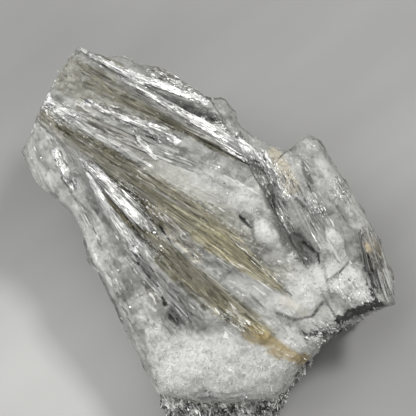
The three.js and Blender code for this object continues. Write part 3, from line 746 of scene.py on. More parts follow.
def crystal_skin():
    """The face grid, the side rings from its rim to the contact, and the contact down to a pole."""
    share, angle = wrapped_square(FACE_CELLS)
    radius = face_radius(share, angle)
    x, y = radius * np.cos(angle), radius * np.sin(angle)
    points = [to_part(x, y, face_height(x, y, share_at(x, y)))]
    rim = square_rim(FACE_CELLS)
    angle = angle[rim]
    top = points[0][rim]
    foot = contact_points(angle, np.ones(len(rim)))
    for row in range(1, WALL_RINGS + 1):
        t = row / WALL_RINGS
        block = chance(np.floor(angle * 5 + 2 * t), math.floor(t * 4)) - 0.5
        ledge = block + 0.5 * unevenness(angle * 8, t * 4 + 0 * angle, 4, 1)
        step = WALL_LEDGE * math.sin(t * math.pi) * ledge
        points.append(top + (foot - top) * t + level_way(angle) * step[:, None])
    for share in CONTACT_SHARES:
        points.append(contact_points(angle, np.full(len(rim), share)))
    rows = len(points) - 1
    points = np.concatenate([*points, [[0, 0, CONTACT_HEIGHT]]])
    rings = (FACE_CELLS + 1) ** 2 + np.arange(rows * len(rim)).reshape(rows, -1)
    rings = np.concatenate([rim[None], rings])
    quads = np.concatenate([square_faces(FACE_CELLS), ring_faces(rings)])
    pole = pole_faces(len(points) - 1, np.roll(rings[-1], -1), rings[-1])
    return points, quads, pole


points, quads, pole = crystal_skin()
print("the skin has", len(points), "nodes")

# %% The crystals' relief
def crystal_relief(points, silk, sugar, clay):
    """How far to push the skin out: bundles where silky, plates where icy, soft grains where sugary."""
    grain = fibre_coordinates(points)
    sway = [0.25 * fibre_noise(grain, 0.12, 0.4, seed) for seed in (4, 14)]
    grain = grain + np.stack([0 * sway[0], *sway], axis=1)
    fibres = (
        0.30 * bundles(grain, 1.7, 13, 1)
        + 0.22 * bundles(grain, 0.8, 7, 2)
        + 0.10 * fibre_noise(grain, 0.2, 2.2, 6)
    )
    plates = (
        0.26 * bundles(grain, 3.1, 6, 3)
        + 0.12 * bundles(grain, 1.6, 3, 4)
        + 0.28 * fibre_noise(grain, 0.3, 0.6, 7)
    )
    tufts = 0.08 * grains(points, 2.2, 2) + 0.04 * grains(points, 0.9, 5) + 0.18 * soft_noise(points, 2.4, 3)
    rough = blend(blend(plates, fibres, silk), tufts, sugar)
    return rough - 0.4 * clay + 0.2 * clay * soft_noise(points, 0.7, 9)


tint, shine, silk, sugar, clay = rock_at(points)
relief = crystal_relief(points, silk, sugar, clay)
points = points + outward_normals(points, quads) * relief[:, None]
print("relief, mm: from", relief.min().round(2), "to", relief.max().round(2))

# %% The crystal mass
RELIEF_SHADE_AND_WHITENING = 0.5  # ridges are painted lighter and grooves darker, as light and shade fall on them, and fractured ridges are whiter too: change of tint for each mm

tint = tint * np.clip(1 + RELIEF_SHADE_AND_WHITENING * relief, 0.6, 1.3)[:, None]
crystal_points, crystal_normals = points, outward_normals(points, quads)
crystal_tint, crystal_silk, crystal_sugar = shown_tint(tint, shine, clay), silk, sugar
crystal_mass = make_piece(
    "crystal_mass", points, [quads, pole], True,
    tint=tint, grain=fibre_coordinates(points), shine=shine, silk=silk, sugar=sugar, clay=clay,
)
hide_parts("hydroboracite_crystals")

# %% [markdown]
# ## The clay slab
# The clay is a soft dark rock, torn rather than cleaved, with a crumbly, hairy break. In front it
# runs out from under the crystals as a slope. Bumps in its finish could give the crumbs, but its
# torn edge shows against the floor, where only real relief breaks the line.

# %% The clay's skin
CLAY_AROUND = 1000
CLAY_RINGS = 40
UNDER_SHARES = (0.15, 0.3, 0.45, 0.6, 0.72, 0.82, 0.9, 0.96, 1.0)  # rings of the underside
FLAT_SHARE = 0.4  # the underside is flat inside this share
WIDEST_HEIGHT = 1.6  # the clay is widest this high above the table
UNDERCUT = 1.8  # and draws in by this much below that
CLAY_SINK = 0.1  # keeps the clay's top just under the crystals


def clay_underside(angle, far, share):
    """A ring of the underside: flat in the middle, uneven outside that, and turned up at the rim."""
    x, y = share * far * np.cos(angle), share * far * np.sin(angle)
    pits = 0.3 * soft_noise(np.stack([x, y, 0 * x], axis=1), 2.5, 2)
    height = 0.9 * unevenness(x, y, 24, 3.3) + pits
    height = np.clip(height + soft_step(share, 0.8, 1), 0, WIDEST_HEIGHT) * (share >= FLAT_SHARE)
    drawn = 1 - UNDERCUT * share / far
    return np.stack([x * drawn, y * drawn, height], axis=1)


def clay_skin():
    """Rings from the underside's pole out to the widest line, up the side, and in along the contact."""
    angle = np.linspace(-math.pi, math.pi, CLAY_AROUND, endpoint=False)
    outward = level_way(angle)
    far = reach(CLAY_OUTLINE, angle)
    rings = [clay_underside(angle, far, share) for share in UNDER_SHARES]
    widest = outward * far[:, None] + [0, 0, WIDEST_HEIGHT]
    upper = contact_points(angle, np.ones(CLAY_AROUND))
    for row in range(1, CLAY_RINGS):
        t = row / CLAY_RINGS
        ledge = chance(np.floor(angle * 4 + 2 * t), math.floor(t * 4) + 9) - 0.5
        ledge = 1.2 * ledge * math.sin(t * math.pi) + 0.4 * unevenness(angle * 8, t * 6 + 0 * angle, 3, 5)
        rings.append(widest + (upper - widest) * t + outward * ledge[:, None])
    for share in (1.0, *CONTACT_SHARES):
        rings.append(contact_points(angle, np.full(CLAY_AROUND, share)) - [0, 0, CLAY_SINK])
    points = np.concatenate([*rings, [[0, 0, 0]], [[0, 0, CONTACT_HEIGHT - CLAY_SINK]]])
    numbers = np.arange(len(rings) * CLAY_AROUND).reshape(len(rings), CLAY_AROUND)
    quads = ring_faces(numbers)[:, ::-1]
    under = pole_faces(len(points) - 2, np.roll(numbers[0], -1), numbers[0])
    over = pole_faces(len(points) - 1, numbers[-1], np.roll(numbers[-1], -1))
    return points, quads, np.concatenate([under, over])


points, quads, ends = clay_skin()
print("the skin has", len(points), "nodes")

# %% The clay slab
def clay_relief(points):
    """Torn rock: coarse and fine grains, with noise, fading out on the underside."""
    rough = 0.7 * grains(points, 2.2, 4) + 0.45 * grains(points * [1, 1, 1.8], 0.9, 6)
    return (rough + 0.35 * soft_noise(points, 0.6, 2)) * soft_step(points[:, 2], 0.6, 2.4)


points = points + outward_normals(points, quads) * clay_relief(points)[:, None]
clay_points, clay_normals = points, outward_normals(points, quads)
clay_rock = make_piece("clay_rock", points, [quads, ends], True)
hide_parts("clay_matrix")

# %% [markdown]
# ## Fibres
# The silky look comes from separate fibres that each catch the light or miss it. Lines in the
# finish could suggest them, but wouldn't stand up from the rock, and Blender's hair is round. So
# they are real blades here: flat, bent with the face, widest in the middle and thinnest at the
# far end. A spray is a number of them between two places, spread a little at each. They come in
# bundles that share a roll about their length and often a tint, because one crystal splits into
# many such blades: that is why a whole bundle flashes at once. All blades of a spray are worked
# out together, as one array of blade by station by corner.

# %% The sprays' tables
# which tints a spray's blades have, and how many of each; bright is painted highlight
MIXES = {
    "plates": [("bright", 0.80), ("white", 0.20)],
    "streak": [("bright", 0.66), ("silver", 0.14), ("smoke_and_shade", 0.20)],
    "grey": [("white", 0.35), ("silver", 0.50), ("smoke_and_shade", 0.15)],
    "band": [("straw", 0.52), ("olive", 0.28), ("brown", 0.06), ("silver", 0.14)],
    "tawny": [("honey", 0.55), ("straw", 0.33), ("white", 0.12)],
    "dark": [("smoke_and_shade", 0.55), ("silver", 0.36), ("bright", 0.09)],
    "shadow": [("olive", 0.50), ("brown", 0.30), ("smoke_and_shade", 0.20)],
    "speckled": [("olive", 0.35), ("smoke_and_shade", 0.25), ("bright", 0.40)],
    "veins": [("clay", 0.48), ("silver", 0.30), ("white", 0.22)],
    "frost": [("white", 0.80), ("bright", 0.20)],
    "threads": [("clay", 0.10), ("smoke_and_shade", 0.34), ("silver", 0.28), ("white", 0.28)],
}
# how much of a mix's blades flashes like mother-of-pearl; the rest of the mixes are dull
PEARLY = {"streak": 1.0, "dark": 1.0, "plates": 0.35}
# name, near end, far end, spread near and far, blades, bundles, width, heap in the middle, roll in
# degrees, mix, and how much of the mix's tint a blade has over the rock's
SPRAYS = [
    ("top_line", (-25.6, 35.2), (-11.2, 27.0), (0.3, 1.0), 260, 20, 0.32, 0.35, 16, "streak", 0.6),
    ("upper_branch", (-16.0, 30.2), (-0.4, 24.4), (0.8, 1.2), 240, 24, 0.34, 0.2, 14, "streak", 0.5),
    ("long_blade", (-18.0, 29.8), (10.8, 12.8), (0.3, 1.9), 760, 26, 0.36, 0.5, 19, "streak", 0.6),
    ("below_blade", (-27.6, 31.4), (6.0, 14.2), (2.0, 1.2), 600, 60, 0.24, 0.05, 0, "band", 0.3),
    ("granular_line", (-24.0, 24.4), (-6.2, 17.4), (0.8, 0.9), 260, 30, 0.34, 0.3, 18, "streak", 0.6),
    ("small_blade", (-14.8, 18.0), (-9.8, 13.0), (0.5, 0.55), 90, 12, 0.6, 0.8, 18, "plates", 0.95),
    ("second_line", (-29.6, 22.6), (-11.0, 11.4), (0.6, 1.0), 240, 30, 0.32, 0.2, 10, "grey", 0.5),
    ("hollow", (-31.6, 23.4), (-1.6, 11.0), (2.6, 2.2), 110, 30, 0.5, 0.1, 4, "grey", 0.25),
    ("left_patch", (-32.4, 25.0), (-25.8, 21.6), (1.3, 1.0), 120, 14, 0.34, 0.2, 18, "streak", 0.6),
    ("middle_band", (-30.0, 19.4), (4.4, -3.0), (1.6, 3.2), 900, 60, 0.26, 0.12, 2, "band", 0.26),
    ("middle_tip", (-7.6, 6.0), (17.4, -15.0), (3.4, 0.5), 220, 50, 0.26, 0.02, 3, "tawny", 0.2),
    ("tip_edge", (3.4, -1.4), (18.0, -15.0), (0.2, 0.15), 50, 6, 0.22, 0.2, 20, "streak", 0.6),
    ("pale_strip", (-10.0, 2.6), (-1.2, -6.6), (1.0, 1.3), 120, 16, 0.4, 0.25, 12, "grey", 0.5),
    ("lower_band", (-13.6, -0.2), (10.8, -22.2), (1.8, 1.9), 600, 50, 0.28, 0.15, 0, "band", 0.28),
    ("lower_sparkle", (2.8, -16.6), (8.8, -21.0), (1.4, 1.4), 90, 40, 0.3, 0.2, 14, "plates", 0.55),
    ("first_streak", (-25.8, 13.6), (-11.2, -0.8), (0.25, 2.0), 560, 22, 0.36, 0.5, 19, "streak", 0.6),
    ("second_streak", (-24.6, 11.0), (-14.6, -4.8), (0.3, 1.7), 700, 14, 0.4, 0.6, 39, "plates", 0.95),
    ("dark_wedge", (-21.2, 6.8), (-12.8, -3.4), (0.15, 0.8), 240, 12, 0.3, 0.6, -14, "shadow", 0.9),
    ("speckled", (-20.8, 9.8), (-10.0, -2.2), (0.6, 1.6), 300, 40, 0.3, 0.2, 8, "speckled", 0.7),
    ("bright_patch", (-30.6, 15.0), (-26.8, 7.6), (0.9, 0.9), 160, 10, 0.4, 0.3, 26, "streak", 0.7),
    ("left_flank", (-29.6, 12.0), (-11.6, -24.0), (2.4, 3.6), 12, 10, 0.6, 0.05, 4, "grey", 0.1),
    ("lower_left", (-17.6, -3.0), (-1.6, -21.0), (2.0, 2.6), 50, 30, 0.6, 0.1, 4, "grey", 0.2),
    ("right_ridges", (15.4, 13.0), (27.4, -9.0), (3.0, 3.6), 24, 16, 0.5, 0.05, 4, "grey", 0.1),
    ("valley", (10.8, 12.0), (17.2, -3.0), (1.6, 1.6), 160, 40, 0.3, 0.05, 3, "dark", 0.35),
    ("right_edge", (30.8, 0.0), (36.0, -16.0), (1.6, 3.2), 200, 30, 0.3, 0.0, 6, "veins", 0.45),
    ("blade_end", (-0.6, 20.0), (11.0, 13.0), (1.0, 1.3), 220, 20, 0.4, 0.55, 19, "plates", 0.85),
]
print(len(SPRAYS), "sprays with", sum(row[4] for row in SPRAYS), "blades")

# %% Blades
STATIONS = np.array([0.0, 0.5, 1.0])
CORNERS = np.array([(-1, -1), (1, -1), (1, 1), (-1, 1)])


def unit(vectors):
    """Each row made one long: divided by its length."""
    return vectors / (np.linalg.norm(vectors, axis=1, keepdims=True) + 1e-9)


def blades_along(middle, over, tilt, size, flatness, taper):
    """Flat sections set across lines of stations. over is the way up, and tilt rolls each about its line."""
    along = unit(middle[:, -1] - middle[:, 0])
    flat = unit(np.cross(over, along))
    up = np.cross(along, flat)
    c, s = np.cos(tilt)[:, None], np.sin(tilt)[:, None]
    wide, thick = flat * c - up * s, flat * s + up * c
    corners = CORNERS * [0.5, 0.5 * flatness]
    section = corners[:, 0, None] * wide[:, None] + corners[:, 1, None] * thick[:, None]
    return middle[:, :, None] + (size[:, None] * np.array(taper))[:, :, None, None] * section[:, None]


def blade_faces(blades, stations):
    """For each blade, four sides between each two stations and two ends, as quads."""
    k = np.arange(4)
    sides = np.stack([k, (k + 1) % 4, (k + 1) % 4 + 4, k + 4], axis=1)
    ends = [[3, 2, 1, 0], 4 * (stations - 1) + k]
    one = np.concatenate([*(sides + 4 * step for step in range(stations - 1)), ends])
    return (one[None] + 4 * stations * np.arange(blades)[:, None, None]).reshape(-1, 4)


print("a blade of 3 stations has", len(blade_faces(1, 3)), "quads")

# %% One spray
def spray_blades(number, near, far, spread, blades, bundle_count, width, heap, roll):
    """A spray's blades, as blade by station by corner, and the bundle of each: lines over the face
    from one place towards another, each over its own stretch of the way, with rolled flat sections."""
    n = np.arange(blades)
    bundle = np.floor(bundle_count * chance(n, number + 20))

    def own(seed):
        """A chance for each blade."""
        return chance(n, number + seed)

    def shared(seed):
        """A chance for each blade that is the same all through its bundle."""
        return chance(bundle, number + seed)

    seat = shared(0) + shared(10) - 1
    seat = np.clip(seat + 0.8 * (own(30) - 0.5) / math.sqrt(bundle_count / 8), -1, 1)
    bundle_length = 0.25 + 0.5 * shared(40)
    bundle_begin = (1 - bundle_length) * shared(50)
    length = bundle_length * (0.10 + 0.6 * own(60) ** 1.5)
    begin = bundle_begin + (bundle_length - length) * own(70)
    t = begin[:, None] + length[:, None] * STATIONS
    near, far = np.array(near), np.array(far)
    run = far - near
    side = np.array([-run[1], run[0]]) / np.linalg.norm(run)
    out = seat[:, None] * (spread[0] + (spread[1] - spread[0]) * t)
    x = near[0] + run[0] * t + side[0] * out
    y = near[1] + run[1] * t + side[1] * out
    ground = face_height(x, y, share_at(x.ravel(), y.ravel()).reshape(x.shape))
    lift = 0.26 * (shared(120) - 0.2) + 0.09 * (own(125) - 0.5)
    lift = lift[:, None] + heap * (1 - seat**2)[:, None] * np.minimum(1, 6 * t * (1 - t) + 0.3)
    middle = np.stack([x, y, ground + lift], axis=-1)
    tilt = roll + 22 * (shared(160) + shared(170) - 1) + 12 * (own(200) - 0.5)
    size = width * (0.4 + 1.4 * own(240) ** 2)
    up = np.array([[0.0, 0.0, 1.0]])
    return blades_along(middle, up, np.radians(tilt), size, 0.2, (0.75, 1.0, 0.55)), bundle


trial, _ = spray_blades(0, *SPRAYS[0][1:-2])
print("the first spray's blades, by station, corner and axis:", trial.shape)

# %% Their tints
def pick_tints(mix, number, bundle):
    """A tint for each blade: half of them take their bundle's pick from the mix, and half their own."""
    names, shares = zip(*MIXES[mix])
    limits = np.cumsum(shares)
    n = np.arange(len(bundle))
    pick = np.where(chance(n, number + 300) < 0.5, chance(bundle, number + 310), chance(n, number + 320))
    choice = np.minimum(np.searchsorted(limits, pick), len(names) - 1)
    return np.array([TINTS[name] for name in names])[choice] * (0.8 + 0.4 * chance(n, number + 330))[:, None]


print("three blades' tints:", pick_tints("band", 0, np.arange(3)).round(2).tolist())

# %% All the fibres
def make_fibres(name, first, last):
    """One joined piece from several sprays. Each blade takes some of the tint of the rock below it."""
    names = [spray[0] for spray in SPRAYS]
    corners = len(STATIONS) * len(CORNERS)
    places, tints, silks, pearls = [], [], [], []
    for number in range(names.index(first), names.index(last) + 1):
        _, *shape, mix, share = SPRAYS[number]
        blades, bundle = spray_blades(number, *shape)
        n = np.arange(len(blades))
        places.append(to_part(*blades.reshape(-1, 3).T))
        tint, shine, _, _, clay = rock_at(places[-1])
        below = shown_tint(tint, shine, clay).reshape(-1, corners, 3).mean(axis=1)
        tints.append(blend(below, pick_tints(mix, number, bundle), share))
        silks.append(0.4 + 0.6 * chance(n, number + 280))
        pearls.append((0.15 + 0.35 * chance(n, number + 290)) * PEARLY.get(mix, 0.0))
    points = np.concatenate(places)
    return make_piece(
        name, points, [blade_faces(len(points) // corners, len(STATIONS))], False,
        tint=np.concatenate(tints).repeat(corners, axis=0), grain=fibre_coordinates(points),
        silk=np.concatenate(silks).repeat(corners), pearl=np.concatenate(pearls).repeat(corners),
    )


fibres = [
    make_fibres("upper_fibres", "top_line", "left_patch"),
    make_fibres("middle_fibres", "middle_band", "lower_sparkle"),
    make_fibres("left_fibres", "first_streak", "lower_left"),
    make_fibres("right_fibres", "right_ridges", "blade_end"),
]

# %% [markdown]
# ## Strewn blades
# The rest of the surface has crystals too: short blades on the silky rock and all along the
# sides, frosty needles, most of them in the white foot, sparkling chips, and hairy threads on the
# clay. Copies of one blade could be scattered, but real ones differ in length, roll and tint, so
# each is worked out. It takes a node of a finished skin for its place, and a direction. The nodes
# are picked by a weight, so that some places have many and some have none.

# %% Strewing
STREWN_NODES = 2 * len(CORNERS)


def strewn(points, normals, weight, count, seed):
    """Picks count nodes by weight: evenly spaced steps along the running total of the weights."""
    total = np.cumsum(weight)
    where = (np.arange(count) + chance(np.arange(count), seed)) / count * total[-1]
    picked = np.minimum(np.searchsorted(total, where), len(points) - 1)
    return picked, points[picked], normals[picked]


def fibre_directions(points):
    """Which way the fibres run in the part's frame: the guides' own directions, blended by place."""
    x, y, _ = to_face(points).T
    run = GUIDES[:, 1] - GUIDES[:, 0]
    slope = np.arctan2(run[:, 1], run[:, 0])
    across = fibre_coordinates(points)[:, 1]
    angle = np.where(right_block(x, y) > 0.5, RIGHT_TURN, np.interp(across, GUIDE_PLACE, slope))
    return to_part(np.cos(angle), np.sin(angle), 0 * angle) - to_part(0.0, 0.0, 0.0)


def tangled(n, seed):
    """A random direction for each blade, by three chances."""
    return np.stack([chance(n, seed), chance(n, seed + 1), chance(n, seed + 2)], axis=1) - 0.5


def laid_down(along, out, rise):
    """Directions turned to lie in the skin, but for a small rise out of it."""
    return unit(along - out * ((along * out).sum(axis=1) - rise)[:, None])


def random_roll(n, seed, degrees):
    """A roll for each blade, in radians, from a range of so many degrees."""
    return np.radians(degrees * (chance(n, seed) - 0.5))


def mostly_small(n, seed, least, more, bend=2):
    """Sizes in mm, from least up to so much more: a chance to a power, so that few are large."""
    return least + more * chance(n, seed) ** bend


def strewn_blades(places, along, normals, length, size, roll, flatness=0.3, taper=(1.0, 0.5), sink=0.3):
    """Straight blades of two stations: from just under the skin, along a direction, rolled about it."""
    start = places - normals * (sink * size)[:, None] - along * (0.4 * length)[:, None]
    middle = np.stack([start, start + along * length[:, None]], axis=1)
    return blades_along(middle, normals, roll, size, flatness, taper).reshape(-1, 3)


def make_strewn(name, nodes, tint, silk, pearl=0.0):
    """A joined piece of two-station blades."""
    return make_piece(
        name, nodes, [blade_faces(len(nodes) // STREWN_NODES, 2)], False,
        tint=tint.repeat(STREWN_NODES, axis=0), grain=fibre_coordinates(nodes),
        silk=np.full(len(nodes), silk), pearl=np.full(len(nodes), pearl),
    )


face_x, face_y, face_z = to_face(crystal_points).T
print("nodes to strew over:", len(crystal_points), "on the crystals,", len(clay_points), "on the clay")

# %% [markdown]
# Short blades lie along the fibres wherever the rock is silky. On the sides that cut across the
# fibres the same blades stand on end, so they are kept short there.

# %% Short blades all round
SHORT_BLADE_COUNT = 3600
on_side = soft_step(-face_z, 1.0, 5.0)
weight = 0.5 * np.maximum(crystal_silk - 0.4, 0) * (1 - on_side) + 0.4 * on_side
weight = weight * (crystal_points[:, 2] > CONTACT_HEIGHT + 0.5)
picked, places, out = strewn(crystal_points, crystal_normals, weight, SHORT_BLADE_COUNT, 1)
n = np.arange(len(picked))
along = unit(fibre_directions(places) + 0.16 * tangled(n, 400))
poke = abs((along * out).sum(axis=1))
length = mostly_small(n, 410, 0.5, 2.6) * (1 - 0.85 * poke)
size = mostly_small(n, 411, 0.16, 0.40)
nodes = strewn_blades(places, along, out, length, size, random_roll(n, 412, 50))
tint = blend(crystal_tint[picked], pick_tints("grey", 413, n), 0.3)
short_blades = make_strewn("short_blades", nodes, tint, 0.7)

# %% [markdown]
# Frosty needles lie every which way on the sugary rock, and stand a little out of it. They are
# closest together in the white foot, where they give it its soft, snowy surface.

# %% Frosty needles
NEEDLE_COUNT = 3800
in_foot = soft_step(-crystal_points[:, 1], 14.0, 22.0)
weight = crystal_sugar**2 * (0.2 + 0.8 * in_foot) * (crystal_points[:, 2] > CONTACT_HEIGHT - 0.5)
picked, places, out = strewn(crystal_points, crystal_normals, weight, NEEDLE_COUNT, 2)
n = np.arange(len(picked))
along = laid_down(tangled(n, 420), out, 0.10)
length = mostly_small(n, 430, 0.5, 1.1)
size = mostly_small(n, 431, 0.12, 0.20)
nodes = strewn_blades(places, along, out, length, size, random_roll(n, 432, 60), 0.6)
tint = blend(crystal_tint[picked], pick_tints("frost", 433, n), 0.4)
needles = make_strewn("frosty_needles", nodes, tint, 0.25)

# %% [markdown]
# Small cleavage chips lie every which way over the face and sparkle. They are flat, one to two
# times as long as wide, and lie closest where the rock is most broken.

# %% Glitter
# x, y, half length, half width, turn in degrees, how many
SPARKLING = [
    (14.0, 9.0, 5.0, 3.4, -40, 2.0), (21.5, 3.4, 2.4, 1.6, -55, 3.0),
    (26.6, 7.0, 3.4, 1.6, -60, 3.0), (29.0, -13.0, 6.0, 3.0, -20, 1.5),
    (4.8, -18.2, 4.6, 1.7, -36, 6.0), (-6.0, 28.0, 8.0, 2.0, -26, 2.0),
    (-30.0, 22.0, 3.4, 2.0, -40, 2.0), (-14.0, 20.0, 10.0, 1.6, -32, 1.6),
    (3.0, 19.0, 6.0, 2.0, -30, 0.8), (-12.0, 5.0, 8.0, 2.4, -42, 1.2),
    (-10.0, -4.0, 4.0, 2.4, -45, 1.5), (24.0, -22.0, 6.0, 3.0, 10, 1.0),
]
EVERYWHERE = 0.008  # the weight outside them
CHIP_COUNT = 2100
weight = EVERYWHERE + sum(
    much * np.maximum(0, 1 - inside_ellipse(face_x, face_y, *place)) for *place, much in SPARKLING
)
weight = weight * (crystal_points[:, 2] > CONTACT_HEIGHT + 1.0)
weight = weight * (0.25 + 0.75 * soft_step(face_z, -6.0, -2.0))
picked, places, out = strewn(crystal_points, crystal_normals, weight, CHIP_COUNT, 6)
n = np.arange(len(picked))
facing = unit(out + 0.9 * tangled(n, 460))
along = unit(np.cross(facing, tangled(n, 470)) + 0.8 * fibre_directions(places))
size = mostly_small(n, 480, 0.18, 0.30, 3)
length = size * (0.8 + 1.6 * chance(n, 481))
nodes = strewn_blades(
    places + out * 0.05, along, facing, length, size, np.zeros(len(n)),
    flatness=0.25, taper=(1.0, 0.8), sink=0.0,
)
# the chips' tint is mostly bright, a painted highlight laid over their own glints
tint = blend(crystal_tint[picked], pick_tints("plates", 483, n), 0.6)
glitter = make_strewn("glitter", nodes, tint, 1.0, 0.35)

# %% [markdown]
# The clay's torn front is hairy with pale and dark threads that run forwards and down it. They
# are kept short at its front edge, so that they don't reach out over the table.

# %% Clay threads
THREAD_COUNT = 2800
weight = (clay_points[:, 2] > 1.0) * (0.2 + 3 * soft_step(-clay_points[:, 1], 24, 30))
picked, places, out = strewn(clay_points, clay_normals, weight, THREAD_COUNT, 3)
n = np.arange(len(picked))
along = laid_down(np.array([[0.5, -1.0, -0.3]]) + 0.7 * tangled(n, 440), out, 0.02)
length = mostly_small(n, 450, 0.7, 1.9)
length = length * (1 - 0.65 * soft_step(-places[:, 1], 38.0, 40.2))
size = mostly_small(n, 451, 0.2, 0.5)
nodes = strewn_blades(places, along, out, length, size, random_roll(n, 452, 80), 0.4)
patch = 1.9 + 1.3 * soft_noise(places, 2.6, 33)
tint = pick_tints("threads", 453, np.floor(n / 5)) * patch[:, None]
threads = make_strewn("clay_threads", nodes, tint, 1.0)

# %% [markdown]
# ## The crystals' finish
# One finish serves the rock and its fibres. Cells stretched along the fibres give each thin
# crystal a tone and a slope of its own, so that some flash and some stay dark; the brightest of
# them are painted glints, and the darkest lines painted shade. Where the rock is icy the cells are
# broad plates, and where it is sugary they are crumbs that run no way at all. The layers on the
# nodes say which of the three a place is, and where highlights are painted or it is clayey.
# Silky parts are smoother and so glint. The real crystals are half clear, but thousands of clear
# blades render slowly and with much noise, so only a little light goes under the surface here,
# enough to take the chalkiness away.
#
# First come short helpers, each for one kind of node, so that the finish reads as a sum of parts.

# %% Helpers for the nodes
def add_node(tree, kind, inputs=None, **settings):
    """A node with its settings, and with its inputs set by name or number."""
    node = tree.nodes.new(kind)
    for key, value in settings.items():
        setattr(node, key, value)
    for key, value in (inputs or {}).items():
        if isinstance(value, bpy.types.NodeSocket):
            tree.links.new(value, node.inputs[key])
        else:
            node.inputs[key].default_value = value
    return node


def blank_material(name):
    """A material with only a Principled shader and its output. Gives it, its tree and the shader."""
    material = bpy.data.materials.new(name)
    material.use_nodes = True
    return material, material.node_tree, material.node_tree.nodes["Principled BSDF"]


def vectors(tree, operation, *values):
    """Vector arithmetic. A distance or a dot product comes out as a number."""
    node = add_node(tree, "ShaderNodeVectorMath", dict(enumerate(values)), operation=operation)
    return node.outputs["Value" if operation in ("DISTANCE", "DOT_PRODUCT") else "Vector"]


def numbers(tree, operation, *values):
    """Arithmetic on numbers."""
    return add_node(tree, "ShaderNodeMath", dict(enumerate(values)), operation=operation).outputs[0]


def layer(tree, name, output="Fac"):
    """A layer of the mesh, read by name."""
    return add_node(tree, "ShaderNodeAttribute", attribute_name=name).outputs[output]


print("node helpers ready")

# %% Helpers for patterns and sums
def stretched_noise(tree, vector, scale, detail):
    """Noise read at a vector multiplied by a scale for each axis."""
    inputs = {"Vector": vectors(tree, "MULTIPLY", vector, scale), "Scale": 1.0, "Detail": detail}
    return add_node(tree, "ShaderNodeTexNoise", inputs | {"Roughness": 0.6}).outputs["Fac"]


def facets(tree, vector, scale):
    """Cells, each with a random number and a slope of its own: the place in the cell times (pick - 1/2)."""
    scaled = vectors(tree, "MULTIPLY", vector, scale)
    cells = add_node(tree, "ShaderNodeTexVoronoi", {"Vector": scaled, "Scale": 1.0}).outputs
    away = vectors(tree, "SUBTRACT", scaled, cells["Position"])
    lean = vectors(tree, "SUBTRACT", cells["Color"], (0.5, 0.5, 0.5))
    pick = add_node(tree, "ShaderNodeSeparateColor", {"Color": cells["Color"]}).outputs["Red"]
    return pick, vectors(tree, "DOT_PRODUCT", away, lean)


def spread_out(tree, value, low, high, out_low, out_high):
    """Maps a value from one range to another, and holds it at the ends."""
    inputs = {"Value": value, "From Min": low, "From Max": high, "To Min": out_low, "To Max": out_high}
    return add_node(tree, "ShaderNodeMapRange", inputs).outputs["Result"]


def mixed(tree, share, a, b):
    """A number between a and b."""
    node = add_node(tree, "ShaderNodeMix", {"Factor": share, "A": a, "B": b}, data_type="FLOAT")
    return node.outputs["Result"]


def painted(tree, share, colour, over):
    """A colour with another laid over it."""
    node = add_node(tree, "ShaderNodeMix", {"Factor": share, "A": colour, "B": over}, data_type="RGBA")
    return node.outputs["Result"]


def product(tree, *values):
    """Several numbers multiplied together."""
    total = values[0]
    for value in values[1:]:
        total = numbers(tree, "MULTIPLY", total, value)
    return total


def weighed(tree, *terms):
    """A sum of values, each times its weight."""
    total = 0.0
    for value, weight in terms:
        total = numbers(tree, "MULTIPLY_ADD", value, weight, total)
    return total


print("pattern helpers ready")

# %% [markdown]
# The patterns are read first, all from the fibre coordinates but the crumbs and the mottling. The
# scales are in cells for each mm of those, and for each metre of Object coordinates. The tone of
# silky, icy and sugary rock is then worked out from them, and mixed by the layers.

# %% The crystals' patterns
def crystal_patterns(tree):
    """The layers and patterns of the crystals: cells from wide to nicks, plates, chips and crumbs."""
    at = SimpleNamespace(
        **{name: layer(tree, name) for name in ("shine", "silk", "sugar", "clay", "pearl")}
    )
    at.tint = layer(tree, "tint", "Color")
    grain = layer(tree, "grain", "Vector")
    place = add_node(tree, "ShaderNodeTexCoord").outputs["Object"]
    wobble = stretched_noise(tree, grain, (0.3, 0.8, 0.8), 2)
    bent = vectors(tree, "MULTIPLY_ADD", (0.0, 0.3, 0.3), wobble, grain)
    at.wide, at.wide_slope = facets(tree, bent, (0.14, 1.7, 1.7))
    at.thin, at.thin_slope = facets(tree, bent, (0.32, 3.0, 3.0))
    at.nick, at.nick_slope = facets(tree, bent, (1.3, 2.8, 2.8))
    at.plate, at.plate_slope = facets(tree, bent, (0.34, 0.5, 0.5))
    at.chip, at.chip_slope = facets(tree, bent, (1.0, 1.4, 1.4))
    at.crumb, at.crumb_slope = facets(tree, place, (1700, 1700, 1700))
    at.fine_lines = stretched_noise(tree, grain, (0.9, 4.6, 4.6), 3)
    at.mottle = stretched_noise(tree, place, (600, 600, 600), 4)
    flashing = weighed(tree, (at.shine, 1.0), (at.pearl, 3.0))
    at.lively = spread_out(tree, flashing, 0.0, 0.6, 0.25, 1.0)
    at.jumble = weighed(tree, (at.wide, 0.6), (at.thin, 0.5))
    return at


print("cells of crystal, from wide to nicks, plates, chips and crumbs")

